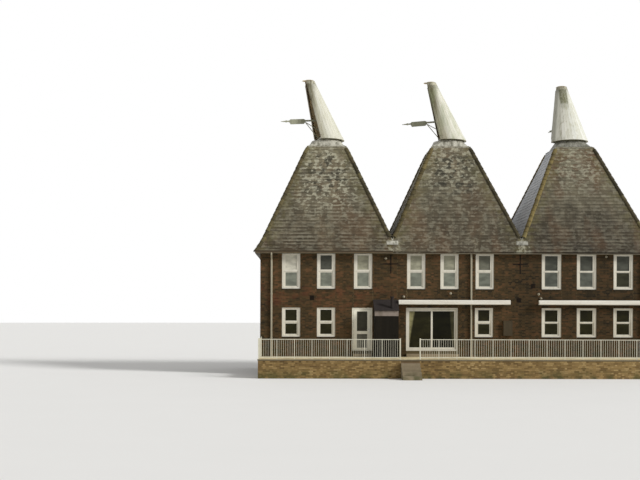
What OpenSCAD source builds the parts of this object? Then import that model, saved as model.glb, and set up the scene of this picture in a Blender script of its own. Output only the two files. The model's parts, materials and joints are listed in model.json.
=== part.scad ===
// Oast house: three square brick hop kilns in a row, under steep slated roofs
// that each carry a white cowl turning with the wind. A raised terrace with
// a white railing runs along the front.
// Millimetres. +X runs along the row to the right, +Y goes into the house and
// +Z is up. The origin is on the ground, under the middle of the whole.

/* [Kilns] */
// Distance between the middles of neighbouring kilns
kiln_pitch = 6480; // [6200:10:6600]
// Outside width and depth of one kiln
kiln_w = 6660; // [6620:10:6900]
// Thickness of the brick walls
wall_t = 330; // [215:5:400]
// Ground floor above the garden
floor_h = 1200; // [1100:10:1400]
// From the ground floor to the upper floor
storey_h = 2600; // [2500:10:2800]
// Top of the walls above the ground floor
wall_h = 4850; // [4800:10:5200]
// Thickness of the ground floor slab
slab_t = 150; // [100:10:200]
// Thickness of the upper floor
upper_floor_t = 200; // [150:10:250]

/* [Roofs] */
// Height of a roof from the walls to its curb
roof_h = 5720; // [5000:10:6500]
// How far the slates reach past the walls
eaves_out = 260; // [200:10:350]
// Thickness of the lower edge of the slates
eaves_edge = 60; // [40:5:90]
// Height of the flatter strip at the foot of the slope
sprocket_h = 600; // [300:10:900]
// Half width of a roof at the top of that strip
sprocket_r = 3255; // [3245:5:3300]
// Half width of a roof at its curb
roof_top_r = 990; // [900:10:1100]
// Thickness of a roof, measured level
roof_t = 142; // [100:2:200]
// Thickness of the soffit boards under the eaves
soffit_t = 25; // [15:1:40]
// Half width of the lead in a valley, measured level
lead_r = 100; // [60:5:150]
// Thickness of the lead and its boarding
lead_t = 25; // [10:1:40]
// Width of the lead apron at the end of a valley
apron_w = 580; // [400:10:800]
// Height of the lead apron
apron_h = 200; // [150:10:400]

/* [Curbs and bearings] */
// Height of the lead curb on top of a roof
curb_h = 385; // [250:5:450]
// Half width of the curb's square foot
curb_foot_r = 910; // [860:10:990]
// Radius of the top of the curb
curb_top_r = 780; // [740:10:850]
// Radius of the smoke opening through the curb
curb_bore_r = 660; // [600:10:700]
// Section of the beam across the opening
bearer_w = 160; // [120:10:200]
// Radius of the iron pin that the cowl turns on
pin_r = 35; // [25:1:45]
// Running clearance round the pin
pin_gap = 0.08; // [0.02:0.01:0.1]

/* [Cowls] */
// Height of a cowl
cowl_h = 3125; // [2800:5:3500]
// Radius of a cowl at its foot
cowl_base_r = 950; // [900:10:1000]
// Radius of a cowl at its top
cowl_top_r = 270; // [200:10:320]
// How far the top leans past the pin, towards the mouth
cowl_lean = 930; // [800:10:1000]
// From the pin to the mouth at the foot
mouth_foot = 440; // [400:10:600]
// From the pin to the mouth at the top
mouth_top = 1130; // [1060:10:1180]
// Number of boards round a whole cowl
board_count = 32; // [24:2:40]
// Thickness of the boards
board_t = 30; // [20:1:40]
// Gap between a curb and its cowl
cowl_gap = 40; // [20:5:60]
// Height of the vane above the foot of the cowl
vane_z = 1110; // [900:10:1200]
// Reach of the vane from the pin
vane_reach = 2450; // [2000:10:2800]
// How far the vane droops, in degrees
vane_droop = 4; // [0:0.5:6]
// Way that each cowl's mouth faces, in degrees from +X towards +Y
headings = [190.5, 174, 103.4]; // [0:0.5:359.5]

/* [Windows] */
// Middles of the three upper windows of each kiln, from the kiln's middle
window_x = [[-1800, -60, 1780], [-2050, -385, 1375], [-1760, 0, 1840]]; // [-2400:5:2400]
// Width of the windows of each kiln
window_w = [910, 910, 980]; // [800:10:1100]
// Height of the rail across the windows of each kiln
window_rail = [120, 120, 70]; // [50:5:140]
// Height of the upper windows
upper_window_h = 1770; // [1500:10:1800]
// Height of the ground floor windows
lower_window_h = 1450; // [1200:10:1600]
// Width of a window's fixed frame
frame_w = 90; // [60:5:110]
// Depth of a window's fixed frame
frame_d = 100; // [80:5:140]
// Width of a sash's stiles
sash_w = 70; // [50:5:90]
// How far the sashes lie behind the frame's face
sash_set = 25; // [10:1:30]
// Thickness of the double glazing
glass_t = 24; // [18:1:28]
// Distance between the two windows of a kiln's back wall
back_window_gap = 2800; // [2000:50:3600]

/* [Doors] */
// Height of the door openings
door_h = 2140; // [2000:10:2200]
// Middle of the glazed door
door_x = -4740; // [-4780:5:-4720]
// Width of the glazed door with its frame
door_w = 1010; // [1000:10:1060]
// Middle of the sliding patio doors
patio_x = -1260; // [-1300:10:-1200]
// Width of the patio doors with their frame
patio_w = 2580; // [2400:10:2600]
// Running gap round a door leaf
leaf_gap = 8; // [6:1:10]
// Thickness of a glazed leaf
leaf_t = 60; // [50:1:70]

/* [Lean-to store] */
// Middle of the store
store_x = -3585; // [-3590:5:-3560]
// Width of the store
store_w = 1170; // [1100:10:1180]
// Depth of the store
store_d = 800; // [600:10:900]
// Height of the store's front above the terrace
store_front_h = 2320; // [2200:10:2400]
// Height of the store's back above the terrace
store_back_h = 2800; // [2600:10:2850]
// Height of its pale front board
store_board_h = 290; // [200:10:320]

/* [Terrace] */
// Height of the terrace above the garden
terrace_h = 900; // [600:10:1000]
// Depth of the terrace
terrace_d = 3000; // [2600:50:3600]
// Thickness of the paving, whose edge is the coping
paving_t = 60; // [40:5:80]
// How far the coping reaches past the terrace wall
coping_out = 30; // [10:5:30]
// Number of risers of the garden steps
riser_count = 5; // [4:1:6]
// Depth of a tread
tread_d = 280; // [250:10:300]
// Middle of the garden steps
steps_x = -2650; // [-2700:10:-2600]
// Width of the garden steps
steps_w = 880; // [800:10:1000]

/* [Railing] */
// Height of the railing
railing_h = 950; // [900:10:1100]
// Distance between posts, adjusted so that the bays of one run are equal
post_pitch = 850; // [700:50:2000]
// Width of a post
post_w = 30; // [25:1:60]
// Width of the end posts
end_post_w = 60; // [50:1:120]
// Distance between balusters
baluster_pitch = 112; // [95:1:130]
// Width of a baluster
baluster_w = 12; // [10:1:20]

/* [Fittings] */
// Middles of the downpipes
pipe_x = [-9256, 690, 9256]; // [-9700:2:9700]
// Radius of the downpipes
pipe_r = 48; // [40:1:60]
// Left ends of the awning cassettes
awning_x = [-2946, 4030]; // [-9700:2:4100]
// Length of an awning cassette
awning_w = 5550; // [4000:10:5600]
// Height of an awning cassette
awning_h = 230; // [200:5:300]
// Middle of the awning cassettes above the ground floor
awning_z = 2415; // [2360:5:2420]
// Middles of the iron tie crosses
tie_x = [-3320, 3150]; // [-3500:10:3500]
// Height of the tie crosses' middle above the ground floor
tie_z = 4325; // [4250:5:4350]

/* [Hidden] */

LEFT = 0;
MIDDLE = 1;
RIGHT = 2;
KILNS = [LEFT, MIDDLE, RIGHT];

// Levels above the garden
upper_floor_z = floor_h + storey_h;
wall_top_z = floor_h + wall_h;
roof_top_z = wall_top_z + roof_h;
curb_top_z = roof_top_z + curb_h;
cowl_z = curb_top_z + cowl_gap;
door_top_z = floor_h + door_h;
upper_sill_z = wall_top_z - upper_window_h;
lower_sill_z = door_top_z - lower_window_h;
riser_h = terrace_h / riser_count;

// Places from front to back, with the whole depth centred on the origin
step_run = tread_d * (riser_count - 1);
whole_d = step_run + terrace_d + kiln_w + eaves_out;
front_y = -whole_d / 2;
terrace_y = front_y + step_run;
wall_y = terrace_y + terrace_d;
back_y = wall_y + kiln_w;
kiln_y = (wall_y + back_y) / 2;

// Places along the row
half_row = kiln_pitch + kiln_w / 2;
party_x = kiln_pitch / 2;
terrace_half = half_row - coping_out;
eaves_r = kiln_w / 2 + eaves_out;
past_roof = 3 * eaves_r;
lead_gap = 0.5;
roof_slope = (roof_h - sprocket_h) / (sprocket_r - roof_top_r);
valley_z = wall_top_z + sprocket_h + (sprocket_r - party_x) * roof_slope;

// Cowl
rail_h = 90;
rail_w = 70;
jamb_w = 60;
frame_gap = 0.5;
mouth_past = 500;
past_cowl = 4 * cowl_base_r;
post_r = 55;
cap_t = 30;
cap_rise = 40;
cap_out = 20;
spur = [210, 80, 65];
vane_arm = [1250, 70, 80];
vane_t = 36;
vane_low = 160;
vane_high = 100;
vane_nose = [100, 60];
board_span = [1120, 2000];
pointer_x = vane_reach - 150;
pointer_h = [25, 8];
bead_x = 2170;
bead_r = 52;
stay_r = 20;
stay_x = 1180;
stay_drop = 130;
stay_foot = 330;
shoulder_gap = 5;
bearer_drop = 110;
post_foot = cowl_gap + bearer_drop - shoulder_gap;
post_joint = 1;
post_clear = 15;
post_top = (cowl_base_r - board_t - post_r - post_clear)
    / (cowl_lean + cowl_base_r - cowl_top_r) * cowl_h;

// Doors and windows
window_set = 30;
lower_shift = 35;
door_frame_w = 75;
threshold_h = 30;
leaf_stile = 165;
leaf_bottom = 110;
leaf_top = 105;
leaf_rail = [940, 150];
leaf_glass_set = 18;
patio_glass_set = 13;
hinge_out = 10;
hinge_r = 9;
hinge_h = 100;
hinge_plate = [60, 6];
patio_frame_w = 70;
patio_stile = 90;
patio_lap = 40;
patio_track = 50;
store_post = 70;
store_head = 70;
door_clear = 10;
far = 30000;
eps = 1;

// Facets round bores and posts, round pipes and curbs, and round thin bars
bore_facets = 48;
pipe_facets = 32;
bar_facets = 24;

function kiln_x(i) = (i - MIDDLE) * kiln_pitch;

// Joins two rings with the same number of points, each counter-clockwise from above.
module loft(low, high) {
    n = len(low);
    polyhedron(
        points = concat(low, high),
        faces = concat(
            [[for (k = [0:n - 1]) k]],
            [[for (k = [0:n - 1]) 2 * n - 1 - k]],
            [for (k = [0:n - 1]) [k, n + k, n + (k + 1) % n, (k + 1) % n]]
        )
    );
}

// A round bar from one point to another.
module rod(from, to, r) {
    run = to - from;
    translate(from)
        rotate([0, acos(run.z / norm(run)), atan2(run.y, run.x)])
            cylinder(h = norm(run), r = r, $fn = bar_facets);
}

// A block between two corners.
module block(low, high) {
    translate(low) cube(high - low);
}

// A profile in the XZ plane, extruded along Y about the middle.
module along_y(length) {
    rotate([90, 0, 0])
        linear_extrude(height = length, center = true)
            children();
}

// Walls

// The inside of one kiln between two levels.
module kiln_room(i, low_z, high_z) {
    low_x = i == LEFT ? -half_row + wall_t : kiln_x(i) - party_x + wall_t / 2;
    high_x = i == RIGHT ? half_row - wall_t : kiln_x(i) + party_x - wall_t / 2;
    block([low_x, wall_y + wall_t, low_z], [high_x, back_y - wall_t, high_z]);
}

module plinth() {
    color("#4f3a2a")
        difference() {
            block([-half_row, wall_y, 0], [half_row, back_y, floor_h]);
            for (i = KILNS) kiln_room(i, -eps, floor_h + eps);
        }
}

module ground_floor() {
    color("#8d8a82")
        for (i = KILNS) kiln_room(i, floor_h - slab_t, floor_h);
}

module upper_floor() {
    color("#8a6f4d")
        for (i = KILNS) kiln_room(i, upper_floor_z - upper_floor_t, upper_floor_z);
}

// Middles of the ground floor windows of the front, for each kiln.
lower_window_x = [
    [window_x[LEFT][0], window_x[LEFT][1]],
    [window_x[MIDDLE][2] - lower_shift],
    window_x[RIGHT]
];

// Places its children at each front window of one kiln, and makes $w and $rail its sizes.
module at_front_windows(i, places, sill_z) {
    $w = window_w[i];
    $rail = window_rail[i];
    for (x = places) translate([kiln_x(i) + x, wall_y, sill_z]) children();
}

// Places its children at each back window of all kilns.
module at_back_windows(sill_z) {
    $w = window_w[LEFT];
    $rail = window_rail[LEFT];
    for (i = KILNS, side = [-1, 1])
        translate([kiln_x(i) + side * back_window_gap / 2, back_y, sill_z])
            rotate(180) children();
}

// Places its children at the window of one end wall, or of both.
module at_end_windows(sill_z, sides = [-1, 1]) {
    $w = window_w[LEFT];
    $rail = window_rail[LEFT];
    for (side = sides)
        translate([side * half_row, kiln_y, sill_z])
            rotate(90 * side) children();
}

// The hole for a window of the height h.
module window_hole(h) {
    block([-$w / 2, -eps, 0], [$w / 2, wall_t + eps, h]);
}

// The front wall of the ground floor between two places along the row.
module front_wall_part(low_x, high_x) {
    color("#4f3a2a")
        difference() {
            block([low_x, wall_y, floor_h], [high_x, wall_y + wall_t, upper_floor_z]);
            for (i = KILNS)
                at_front_windows(i, lower_window_x[i], lower_sill_z)
                    window_hole(lower_window_h);
        }
}

module front_wall_left() front_wall_part(-half_row, door_x - door_w / 2);

module front_wall_pier() {
    color("#4f3a2a")
        block([door_x + door_w / 2, wall_y, floor_h],
              [patio_x - patio_w / 2, wall_y + wall_t, upper_floor_z]);
}

module front_wall_right() front_wall_part(patio_x + patio_w / 2, half_row);

// The brickwork over both doors.
module front_wall_head() {
    color("#4f3a2a")
        for (door = [[door_x, door_w], [patio_x, patio_w]])
            block([door[0] - door[1] / 2, wall_y, door_top_z],
                  [door[0] + door[1] / 2, wall_y + wall_t, upper_floor_z]);
}

module front_wall_upper() {
    color("#4f3a2a")
        difference() {
            block([-half_row, wall_y, upper_floor_z], [half_row, wall_y + wall_t, wall_top_z]);
            for (i = KILNS)
                at_front_windows(i, window_x[i], upper_sill_z)
                    window_hole(upper_window_h + eps);
        }
}

module back_wall() {
    color("#4f3a2a")
        difference() {
            block([-half_row, back_y - wall_t, floor_h], [half_row, back_y, wall_top_z]);
            at_back_windows(lower_sill_z) window_hole(lower_window_h);
            at_back_windows(upper_sill_z) window_hole(upper_window_h + eps);
        }
}

module end_wall(side) {
    outer = side * half_row;
    inner = side * (half_row - wall_t);
    color("#4f3a2a")
        difference() {
            block([min(outer, inner), wall_y + wall_t, floor_h],
                  [max(outer, inner), back_y - wall_t, wall_top_z]);
            at_end_windows(lower_sill_z, [side]) window_hole(lower_window_h);
            at_end_windows(upper_sill_z, [side]) window_hole(upper_window_h + eps);
        }
}

module party_walls() {
    color("#5d4634")
        for (side = [-1, 1])
            block([side * party_x - wall_t / 2, wall_y + wall_t, floor_h],
                  [side * party_x + wall_t / 2, back_y - wall_t, wall_top_z]);
}

// Roofs

// The section of a roof's outside, raised by lift along the slopes' horizontal.
function roof_outline(lift = 0) = [
    [-eaves_r - lift, wall_top_z],
    [-eaves_r - lift, wall_top_z + eaves_edge],
    [-sprocket_r - lift, wall_top_z + sprocket_h],
    [-roof_top_r - lift, roof_top_z],
    [roof_top_r + lift, roof_top_z],
    [sprocket_r + lift, wall_top_z + sprocket_h],
    [eaves_r + lift, wall_top_z + eaves_edge],
    [eaves_r + lift, wall_top_z]
];

// The sections of one side of a roof: its flatter foot, and the main slope above it.
loft_r = kiln_w / 2 - wall_t / 2;
roof_joint = 1;
knee_z = wall_top_z + sprocket_h;
slope_sections = [
    [
        [loft_r, wall_top_z],
        [eaves_r, wall_top_z],
        [eaves_r, wall_top_z + eaves_edge],
        [sprocket_r, knee_z - roof_joint],
        [sprocket_r - roof_t, knee_z - roof_joint]
    ],
    [
        [sprocket_r - roof_t, knee_z],
        [sprocket_r, knee_z],
        [roof_top_r, roof_top_z],
        [roof_top_r - roof_t, roof_top_z]
    ]
];

// Four sides that meet at the hips, each mitred there. Neighbouring roofs are cut
// where they meet, which leaves the valley between them.
module kiln_roof(i) {
    low_x = i == LEFT ? -far : -party_x;
    high_x = i == RIGHT ? far : party_x;
    color("#6b6152")
        translate([kiln_x(i), kiln_y, 0])
            for (turn = [0:90:270], section = slope_sections)
                intersection() {
                    rotate(turn)
                        intersection() {
                            along_y(past_roof) polygon(section);
                            linear_extrude(height = far)
                                polygon([[roof_joint, 0], [far, roof_joint - far],
                                         [far, far - roof_joint]]);
                        }
                    block([low_x, -far, 0], [high_x, far, far]);
                }
}

// Four boards close the underside of the eaves, with open joints at the corners.
module soffit() {
    joint = 2;
    low_z = wall_top_z - soffit_t;
    color("#8f8672") {
        for (y = [wall_y - eaves_out, back_y])
            block([-half_row - eaves_out, y, low_z],
                  [half_row + eaves_out, y + eaves_out, wall_top_z]);
        for (x = [-half_row - eaves_out, half_row])
            block([x, wall_y + joint, low_z], [x + eaves_out, back_y - joint, wall_top_z]);
    }
}

// Lead folded into each valley, with an apron over the slates at both ends.
module valley_lead() {
    low_z = valley_z + lead_gap * roof_slope;
    wing_z = lead_r * roof_slope;
    top_section = roof_outline(lead_t);
    color("#b9b8ad")
        for (side = [-1, 1])
            translate([side * party_x, kiln_y, 0]) {
                intersection() {
                    along_y(past_roof)
                        polygon([
                            [0, low_z],
                            [lead_r, low_z + wing_z],
                            [lead_r, low_z + wing_z + lead_t],
                            [0, low_z + lead_t * roof_slope],
                            [-lead_r, low_z + wing_z + lead_t],
                            [-lead_r, low_z + wing_z]
                        ]);
                    rotate(90) along_y(past_roof) polygon(top_section);
                }
                intersection() {
                    difference() {
                        rotate(90) along_y(apron_w) polygon(top_section);
                        rotate(90) along_y(apron_w + 2 * eps) polygon(roof_outline(lead_gap));
                    }
                    block([-far, -far, valley_z - apron_h], [far, far, valley_z]);
                }
            }
}

// A splayed lead curb, square where it sits on the slates and round under the cowl.
module roof_curbs() {
    flat = 30;
    color("#b4b3a6")
        for (i = KILNS)
            translate([kiln_x(i), kiln_y, roof_top_z])
                difference() {
                    hull() {
                        translate([-curb_foot_r, -curb_foot_r, 0])
                            cube([2 * curb_foot_r, 2 * curb_foot_r, flat]);
                        translate([0, 0, curb_h - flat])
                            cylinder(h = flat, r = curb_top_r, $fn = pipe_facets);
                    }
                    translate([0, 0, -eps])
                        cylinder(h = curb_h + 2 * eps, r = curb_bore_r, $fn = bore_facets);
                }
}

// An oak beam across each smoke opening, bored for the pin.
module cowl_bearers() {
    low_z = curb_top_z - bearer_drop - bearer_w;
    color("#6d5a43")
        for (i = KILNS)
            translate([kiln_x(i), kiln_y, low_z])
                difference() {
                    intersection() {
                        translate([-far / 2, -bearer_w / 2, 0]) cube([far, bearer_w, bearer_w]);
                        cylinder(h = bearer_w, r = curb_bore_r, $fn = bore_facets);
                    }
                    translate([0, 0, -eps])
                        cylinder(h = bearer_w + 2 * eps, r = pin_r + pin_gap, $fn = bore_facets);
                }
}

// Cowls: each is modelled about its pin, with its mouth towards +X

// One ring of the boards' corners at the height z, set in from the outside.
function cowl_ring(z, inset = 0) = [
    for (k = [0:board_count - 1])
        let (
            turn = 360 * (k + 0.5) / board_count,
            r = cowl_base_r + (cowl_top_r - cowl_base_r) * z / cowl_h - inset
        )
        [cowl_lean * z / cowl_h + r * cos(turn), r * sin(turn), z]
];

// The leaning cone of the cowl between two heights, set in from the outside.
module cowl_cone(low_z, high_z, inset = 0) {
    hull() loft(cowl_ring(low_z, inset), cowl_ring(high_z, inset));
}

// A coat of straight boards round the cone between two heights, each one tapering upwards.
module cowl_boards(low_z, high_z, inset, thick) {
    for (k = [0:board_count - 1])
        let (next = (k + 1) % board_count)
        hull()
            loft([for (p = [[inset, k], [inset, next], [inset + thick, next], [inset + thick, k]])
                      cowl_ring(low_z, p[0])[p[1]]],
                 [for (p = [[inset, k], [inset, next], [inset + thick, next], [inset + thick, k]])
                      cowl_ring(high_z, p[0])[p[1]]]);
}

// Everything on one side of the raking mouth, side 1 being out of it.
module beyond_mouth(side = 1, behind = 0) {
    function mouth_at(z) = mouth_foot + (mouth_top - mouth_foot) * z / cowl_h - behind;
    along_y(past_cowl)
        polygon([
            [mouth_at(-mouth_past), -mouth_past],
            [side * past_cowl, -mouth_past],
            [side * past_cowl, cowl_h + mouth_past],
            [mouth_at(cowl_h + mouth_past), cowl_h + mouth_past]
        ]);
}

// Stands its children on the pin of one kiln, turned to the cowl's heading.
module on_pin(i) {
    translate([kiln_x(i), kiln_y, cowl_z]) rotate(headings[i]) children();
}

module cowl_hood(i) {
    color("#e9e7da")
        on_pin(i) {
            difference() {
                union() {
                    cowl_boards(0, cowl_h - cap_t, 0, board_t - frame_gap);
                    cowl_cone(cowl_h - cap_t, cowl_h);
                    hull()
                        loft(cowl_ring(cowl_h, -cap_out), cowl_ring(cowl_h + cap_rise, cap_rise));
                }
                beyond_mouth();
            }
            translate([mouth_top - cap_t, -spur.y / 2, cowl_h - cap_t])
                rotate([-90, 0, 0])
                    linear_extrude(height = spur.y)
                        polygon([[0, 0], [0, -spur.z], [spur.x - spur.z, -spur.z],
                                 [spur.x, -spur.z / 2], [spur.x - spur.z, 0]]);
        }
}

// The frame inside the boards: foot rail, sill, jambs and the beam that the post stands through.
module cowl_frame(i) {
    inside = board_t + rail_w / 2;
    color("#7d7460")
        on_pin(i)
            difference() {
                union() {
                    cowl_boards(0, rail_h, board_t, rail_w);
                    difference() {
                        cowl_boards(rail_h, cowl_h - cap_t, board_t, jamb_w);
                        beyond_mouth(-1, jamb_w);
                    }
                    difference() {
                        cowl_cone(0, rail_h, inside);
                        beyond_mouth(-1, rail_w);
                    }
                    intersection() {
                        cowl_cone(0, rail_h, inside);
                        block([-rail_w, -far, 0], [rail_w, far, rail_h]);
                    }
                }
                beyond_mouth();
                translate([0, 0, -eps]) cylinder(h = cowl_h, r = post_r + post_joint, $fn = bore_facets);
            }
}

// The post, up to the boards above it, and its iron pin in the beam below.
module cowl_post(i) {
    color("#6f6350")
        on_pin(i) {
            translate([0, 0, -post_foot])
                cylinder(h = post_foot + post_top, r = post_r, $fn = bore_facets);
            translate([0, 0, -post_foot - bearer_w])
                cylinder(h = bearer_w, r = pin_r, $fn = bore_facets);
        }
}

// The outline of the vane's board and pointer.
function vane_board() = [
    [board_span[0], -vane_arm.z / 2], [board_span[0] + vane_nose.x, -vane_low],
    [board_span[1] - vane_nose.y, -vane_low], [board_span[1], -vane_arm.z / 2],
    [pointer_x, -pointer_h[0]], [vane_reach, -pointer_h[1]],
    [vane_reach, pointer_h[1]], [pointer_x, pointer_h[0]],
    [board_span[1], vane_arm.z / 2], [board_span[1] - vane_nose.y, vane_high],
    [board_span[0] + vane_nose.x, vane_high], [board_span[0], vane_arm.z / 2]
];

// The arm through the mouth, its board and pointer, and the two iron stays under it.
module cowl_vane(i) {
    color("#8f8d7c")
        on_pin(i)
            difference() {
                union() {
                    translate([0, 0, vane_z]) rotate([0, vane_droop, 0]) {
                        translate([0, -vane_arm.y / 2, -vane_arm.z / 2]) cube(vane_arm);
                        along_y(vane_t) polygon(vane_board());
                        translate([bead_x, 0, 0]) rotate([90, 0, 0])
                            cylinder(h = vane_arm.y, r = bead_r, center = true, $fn = pipe_facets);
                    }
                    rod([stay_x, 0, vane_z - stay_drop], [0, 0, stay_foot], stay_r);
                    rod([stay_x - stay_r, 0, vane_z - stay_drop],
                        [mouth_foot - 2 * stay_r, 0, rail_h - stay_r], stay_r);
                }
                translate([0, 0, -eps]) cylinder(h = cowl_h, r = post_r, $fn = bore_facets);
                block([-far, -far, -far], [far, far, rail_h]);
            }
}

// Windows

// Sizes of the two panes of a window with the height h, as [low, high].
function pane_z(h, rail) = [
    [frame_w + sash_w / 2, (h - rail) / 2],
    [(h + rail) / 2, h - frame_w]
];

// A box frame with an upper and a lower sash, its face set into the wall.
module sash_window(h) {
    side = frame_w + sash_w;
    sill_top = side / 2;
    meeting = $rail / 3;
    translate([0, window_set, 0])
        difference() {
            block([-$w / 2, 0, 0], [$w / 2, frame_d, h]);
            block([-$w / 2 + frame_w, -eps, sill_top],
                  [$w / 2 - frame_w, sash_set, h - frame_w / 2]);
            block([-$w / 2 + frame_w, -eps, sill_top],
                  [$w / 2 - frame_w, 2 * sash_set, (h - meeting) / 2]);
            for (z = pane_z(h, $rail))
                block([-$w / 2 + side, -eps, z[0]], [$w / 2 - side, frame_d + eps, z[1]]);
        }
}

module sash_glass(h) {
    side = frame_w + sash_w;
    for (z = pane_z(h, $rail))
        block([-$w / 2 + side, window_set + 2 * sash_set, z[0]],
              [$w / 2 - side, window_set + 2 * sash_set + glass_t, z[1]]);
}

module at_upper_windows() {
    for (i = KILNS) at_front_windows(i, window_x[i], upper_sill_z) children();
    at_back_windows(upper_sill_z) children();
    at_end_windows(upper_sill_z) children();
}

module at_lower_windows() {
    for (i = KILNS) at_front_windows(i, lower_window_x[i], lower_sill_z) children();
    at_back_windows(lower_sill_z) children();
    at_end_windows(lower_sill_z) children();
}

module upper_windows() color("#d9d5c6") at_upper_windows() sash_window(upper_window_h);

module upper_window_glass() color("#6f7a72", 0.6) at_upper_windows() sash_glass(upper_window_h);

module lower_windows() color("#d9d5c6") at_lower_windows() sash_window(lower_window_h);

module lower_window_glass() {
    color("#2c3129", 0.6) {
        at_lower_windows() sash_glass(lower_window_h);
        patio_glass(patio_fixed_x, patio_outer_y);
    }
}

// Glazed door, hinged on its left and opening outwards

leaf_w = door_w - 2 * door_frame_w - 2 * leaf_gap;
leaf_h = door_h - door_frame_w - threshold_h - 2 * leaf_gap;
leaf_x = door_x - door_w / 2 + door_frame_w + leaf_gap;
leaf_z = floor_h + threshold_h + leaf_gap;
leaf_y = wall_y + window_set;
hinge_y = leaf_y - hinge_out;
hinge_foot = 200;
hinge_head = 300;

module glazed_door_frame() {
    color("#d9d5c6")
        translate([door_x, leaf_y, floor_h])
            difference() {
                block([-door_w / 2, 0, 0], [door_w / 2, frame_d, door_h]);
                block([-door_w / 2 + door_frame_w, -eps, threshold_h],
                      [door_w / 2 - door_frame_w, frame_d + eps, door_h - door_frame_w]);
            }
}

// Heights of the door's two panes above the foot of the leaf.
leaf_panes = [
    [leaf_bottom, leaf_rail[0] - leaf_rail[1]],
    [leaf_rail[0], leaf_h - leaf_top]
];

module glazed_door_leaf() {
    color("#d9d5c6") {
        translate([leaf_x, leaf_y, leaf_z])
            difference() {
                cube([leaf_w, leaf_t, leaf_h]);
                for (z = leaf_panes)
                    block([leaf_stile, -eps, z[0]], [leaf_w - leaf_stile, leaf_t + eps, z[1]]);
            }
        for (z = [hinge_foot, leaf_h / 2, leaf_h - hinge_head])
            translate([leaf_x - leaf_gap / 2, hinge_y, leaf_z + z]) {
                cylinder(h = hinge_h, r = hinge_r, $fn = bar_facets);
                block([0, -hinge_plate.y, 0], [hinge_plate.x, hinge_out, hinge_h]);
            }
    }
}

module glazed_door_glass() {
    color("#2c3129", 0.6)
        translate([leaf_x, leaf_y, leaf_z])
            for (z = leaf_panes)
                block([leaf_stile, leaf_glass_set, z[0]],
                      [leaf_w - leaf_stile, leaf_glass_set + glass_t, z[1]]);
}

module glazed_door_handle() {
    plate = [34, 8, 220];
    plate_x = 90;
    plate_z = 850;
    spindle_z = plate.z - 50;
    spindle = 40;
    grip = 110;
    grip_r = 9;
    color("#c9c7bd")
        translate([leaf_x + leaf_w - plate_x, leaf_y - plate.y, leaf_z + plate_z]) {
            cube(plate);
            translate([plate.x / 2, 0, spindle_z]) rotate([90, 0, 0])
                cylinder(h = spindle, r = grip_r, $fn = bar_facets);
            translate([plate.x / 2, -spindle, spindle_z]) rotate([0, -90, 0])
                cylinder(h = grip, r = grip_r, $fn = bar_facets);
        }
}

// Patio doors: the left panel is fixed, the right one slides behind it

patio_panel_w = (patio_w - 2 * patio_frame_w) / 2 + patio_lap;
patio_panel_h = door_h - 2 * patio_frame_w - 2 * leaf_gap;
patio_panel_z = floor_h + patio_frame_w + leaf_gap;
patio_fixed_x = patio_x - patio_w / 2 + patio_frame_w;
patio_sliding_x = patio_x + patio_w / 2 - patio_frame_w - patio_panel_w - leaf_gap;
patio_outer_y = wall_y + window_set;
patio_inner_y = patio_outer_y + patio_track + leaf_gap;

// One glazed panel with its left foot at x and its face at y. It fills the frame's
// height where it is fixed.
module patio_panel(x, y, low_z, h) {
    translate([x, y, low_z])
        difference() {
            cube([patio_panel_w, patio_track, h]);
            block([patio_stile, -eps, patio_panel_z + patio_stile - low_z],
                  [patio_panel_w - patio_stile, patio_track + eps,
                   patio_panel_z + patio_panel_h - patio_stile - low_z]);
        }
}

module patio_glass(x, y) {
    translate([x, y, patio_panel_z])
        block([patio_stile, patio_glass_set, patio_stile],
              [patio_panel_w - patio_stile, patio_glass_set + glass_t,
               patio_panel_h - patio_stile]);
}

module patio_door_frame() {
    depth = 2 * patio_track + 3 * leaf_gap;
    color("#d9d5c6") {
        translate([patio_x, patio_outer_y, floor_h])
            difference() {
                block([-patio_w / 2, 0, 0], [patio_w / 2, depth, door_h]);
                block([-patio_w / 2 + patio_frame_w, -eps, patio_frame_w],
                      [patio_w / 2 - patio_frame_w, depth + eps, door_h - patio_frame_w]);
            }
        patio_panel(patio_fixed_x, patio_outer_y, floor_h + patio_frame_w,
                    door_h - 2 * patio_frame_w);
    }
}

module patio_sliding_panel() {
    color("#d9d5c6")
        patio_panel(patio_sliding_x, patio_inner_y, patio_panel_z, patio_panel_h);
}

module patio_sliding_glass() {
    color("#2c3129", 0.6) patio_glass(patio_sliding_x, patio_inner_y);
}

// Lean-to store on the terrace, with a boarded door

store_low_x = store_x - store_w / 2;
store_high_x = store_x + store_w / 2;
store_y = wall_y - store_d;
store_top_z = terrace_h + store_front_h;
store_door_top = store_top_z - store_board_h - door_clear;
store_rise = (store_back_h - store_front_h) / store_d;
side_t = 25;
store_leaf_gap = 13;

// The side view of the store under its roof, from a distance behind its front.
module store_side(inset = 0) {
    polygon([
        [store_y + inset, terrace_h],
        [wall_y, terrace_h],
        [wall_y, store_top_z + store_d * store_rise],
        [store_y + inset, store_top_z + inset * store_rise]
    ]);
}

// A profile in the YZ plane, extruded along X between two places.
module along_x(low_x, high_x) {
    translate([low_x, 0, 0])
        rotate([90, 0, 90])
            linear_extrude(height = high_x - low_x)
                children();
}

module store_frame() {
    color("#26302a") {
        difference() {
            union() {
                along_x(store_low_x, store_low_x + side_t) store_side();
                along_x(store_high_x - side_t, store_high_x) store_side();
                for (x = [store_low_x, store_high_x - store_post])
                    along_x(x, x + store_post)
                        intersection() {
                            store_side();
                            translate([store_y, 0]) square([store_post, far]);
                        }
                along_x(store_low_x, store_high_x)
                    intersection() {
                        store_side();
                        translate([store_y, store_door_top + door_clear])
                            square([store_head, far]);
                    }
            }
            block([store_low_x - eps, store_y - eps, store_top_z - store_board_h],
                  [store_high_x + eps, store_y + side_t, far]);
        }
    }
}

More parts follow.
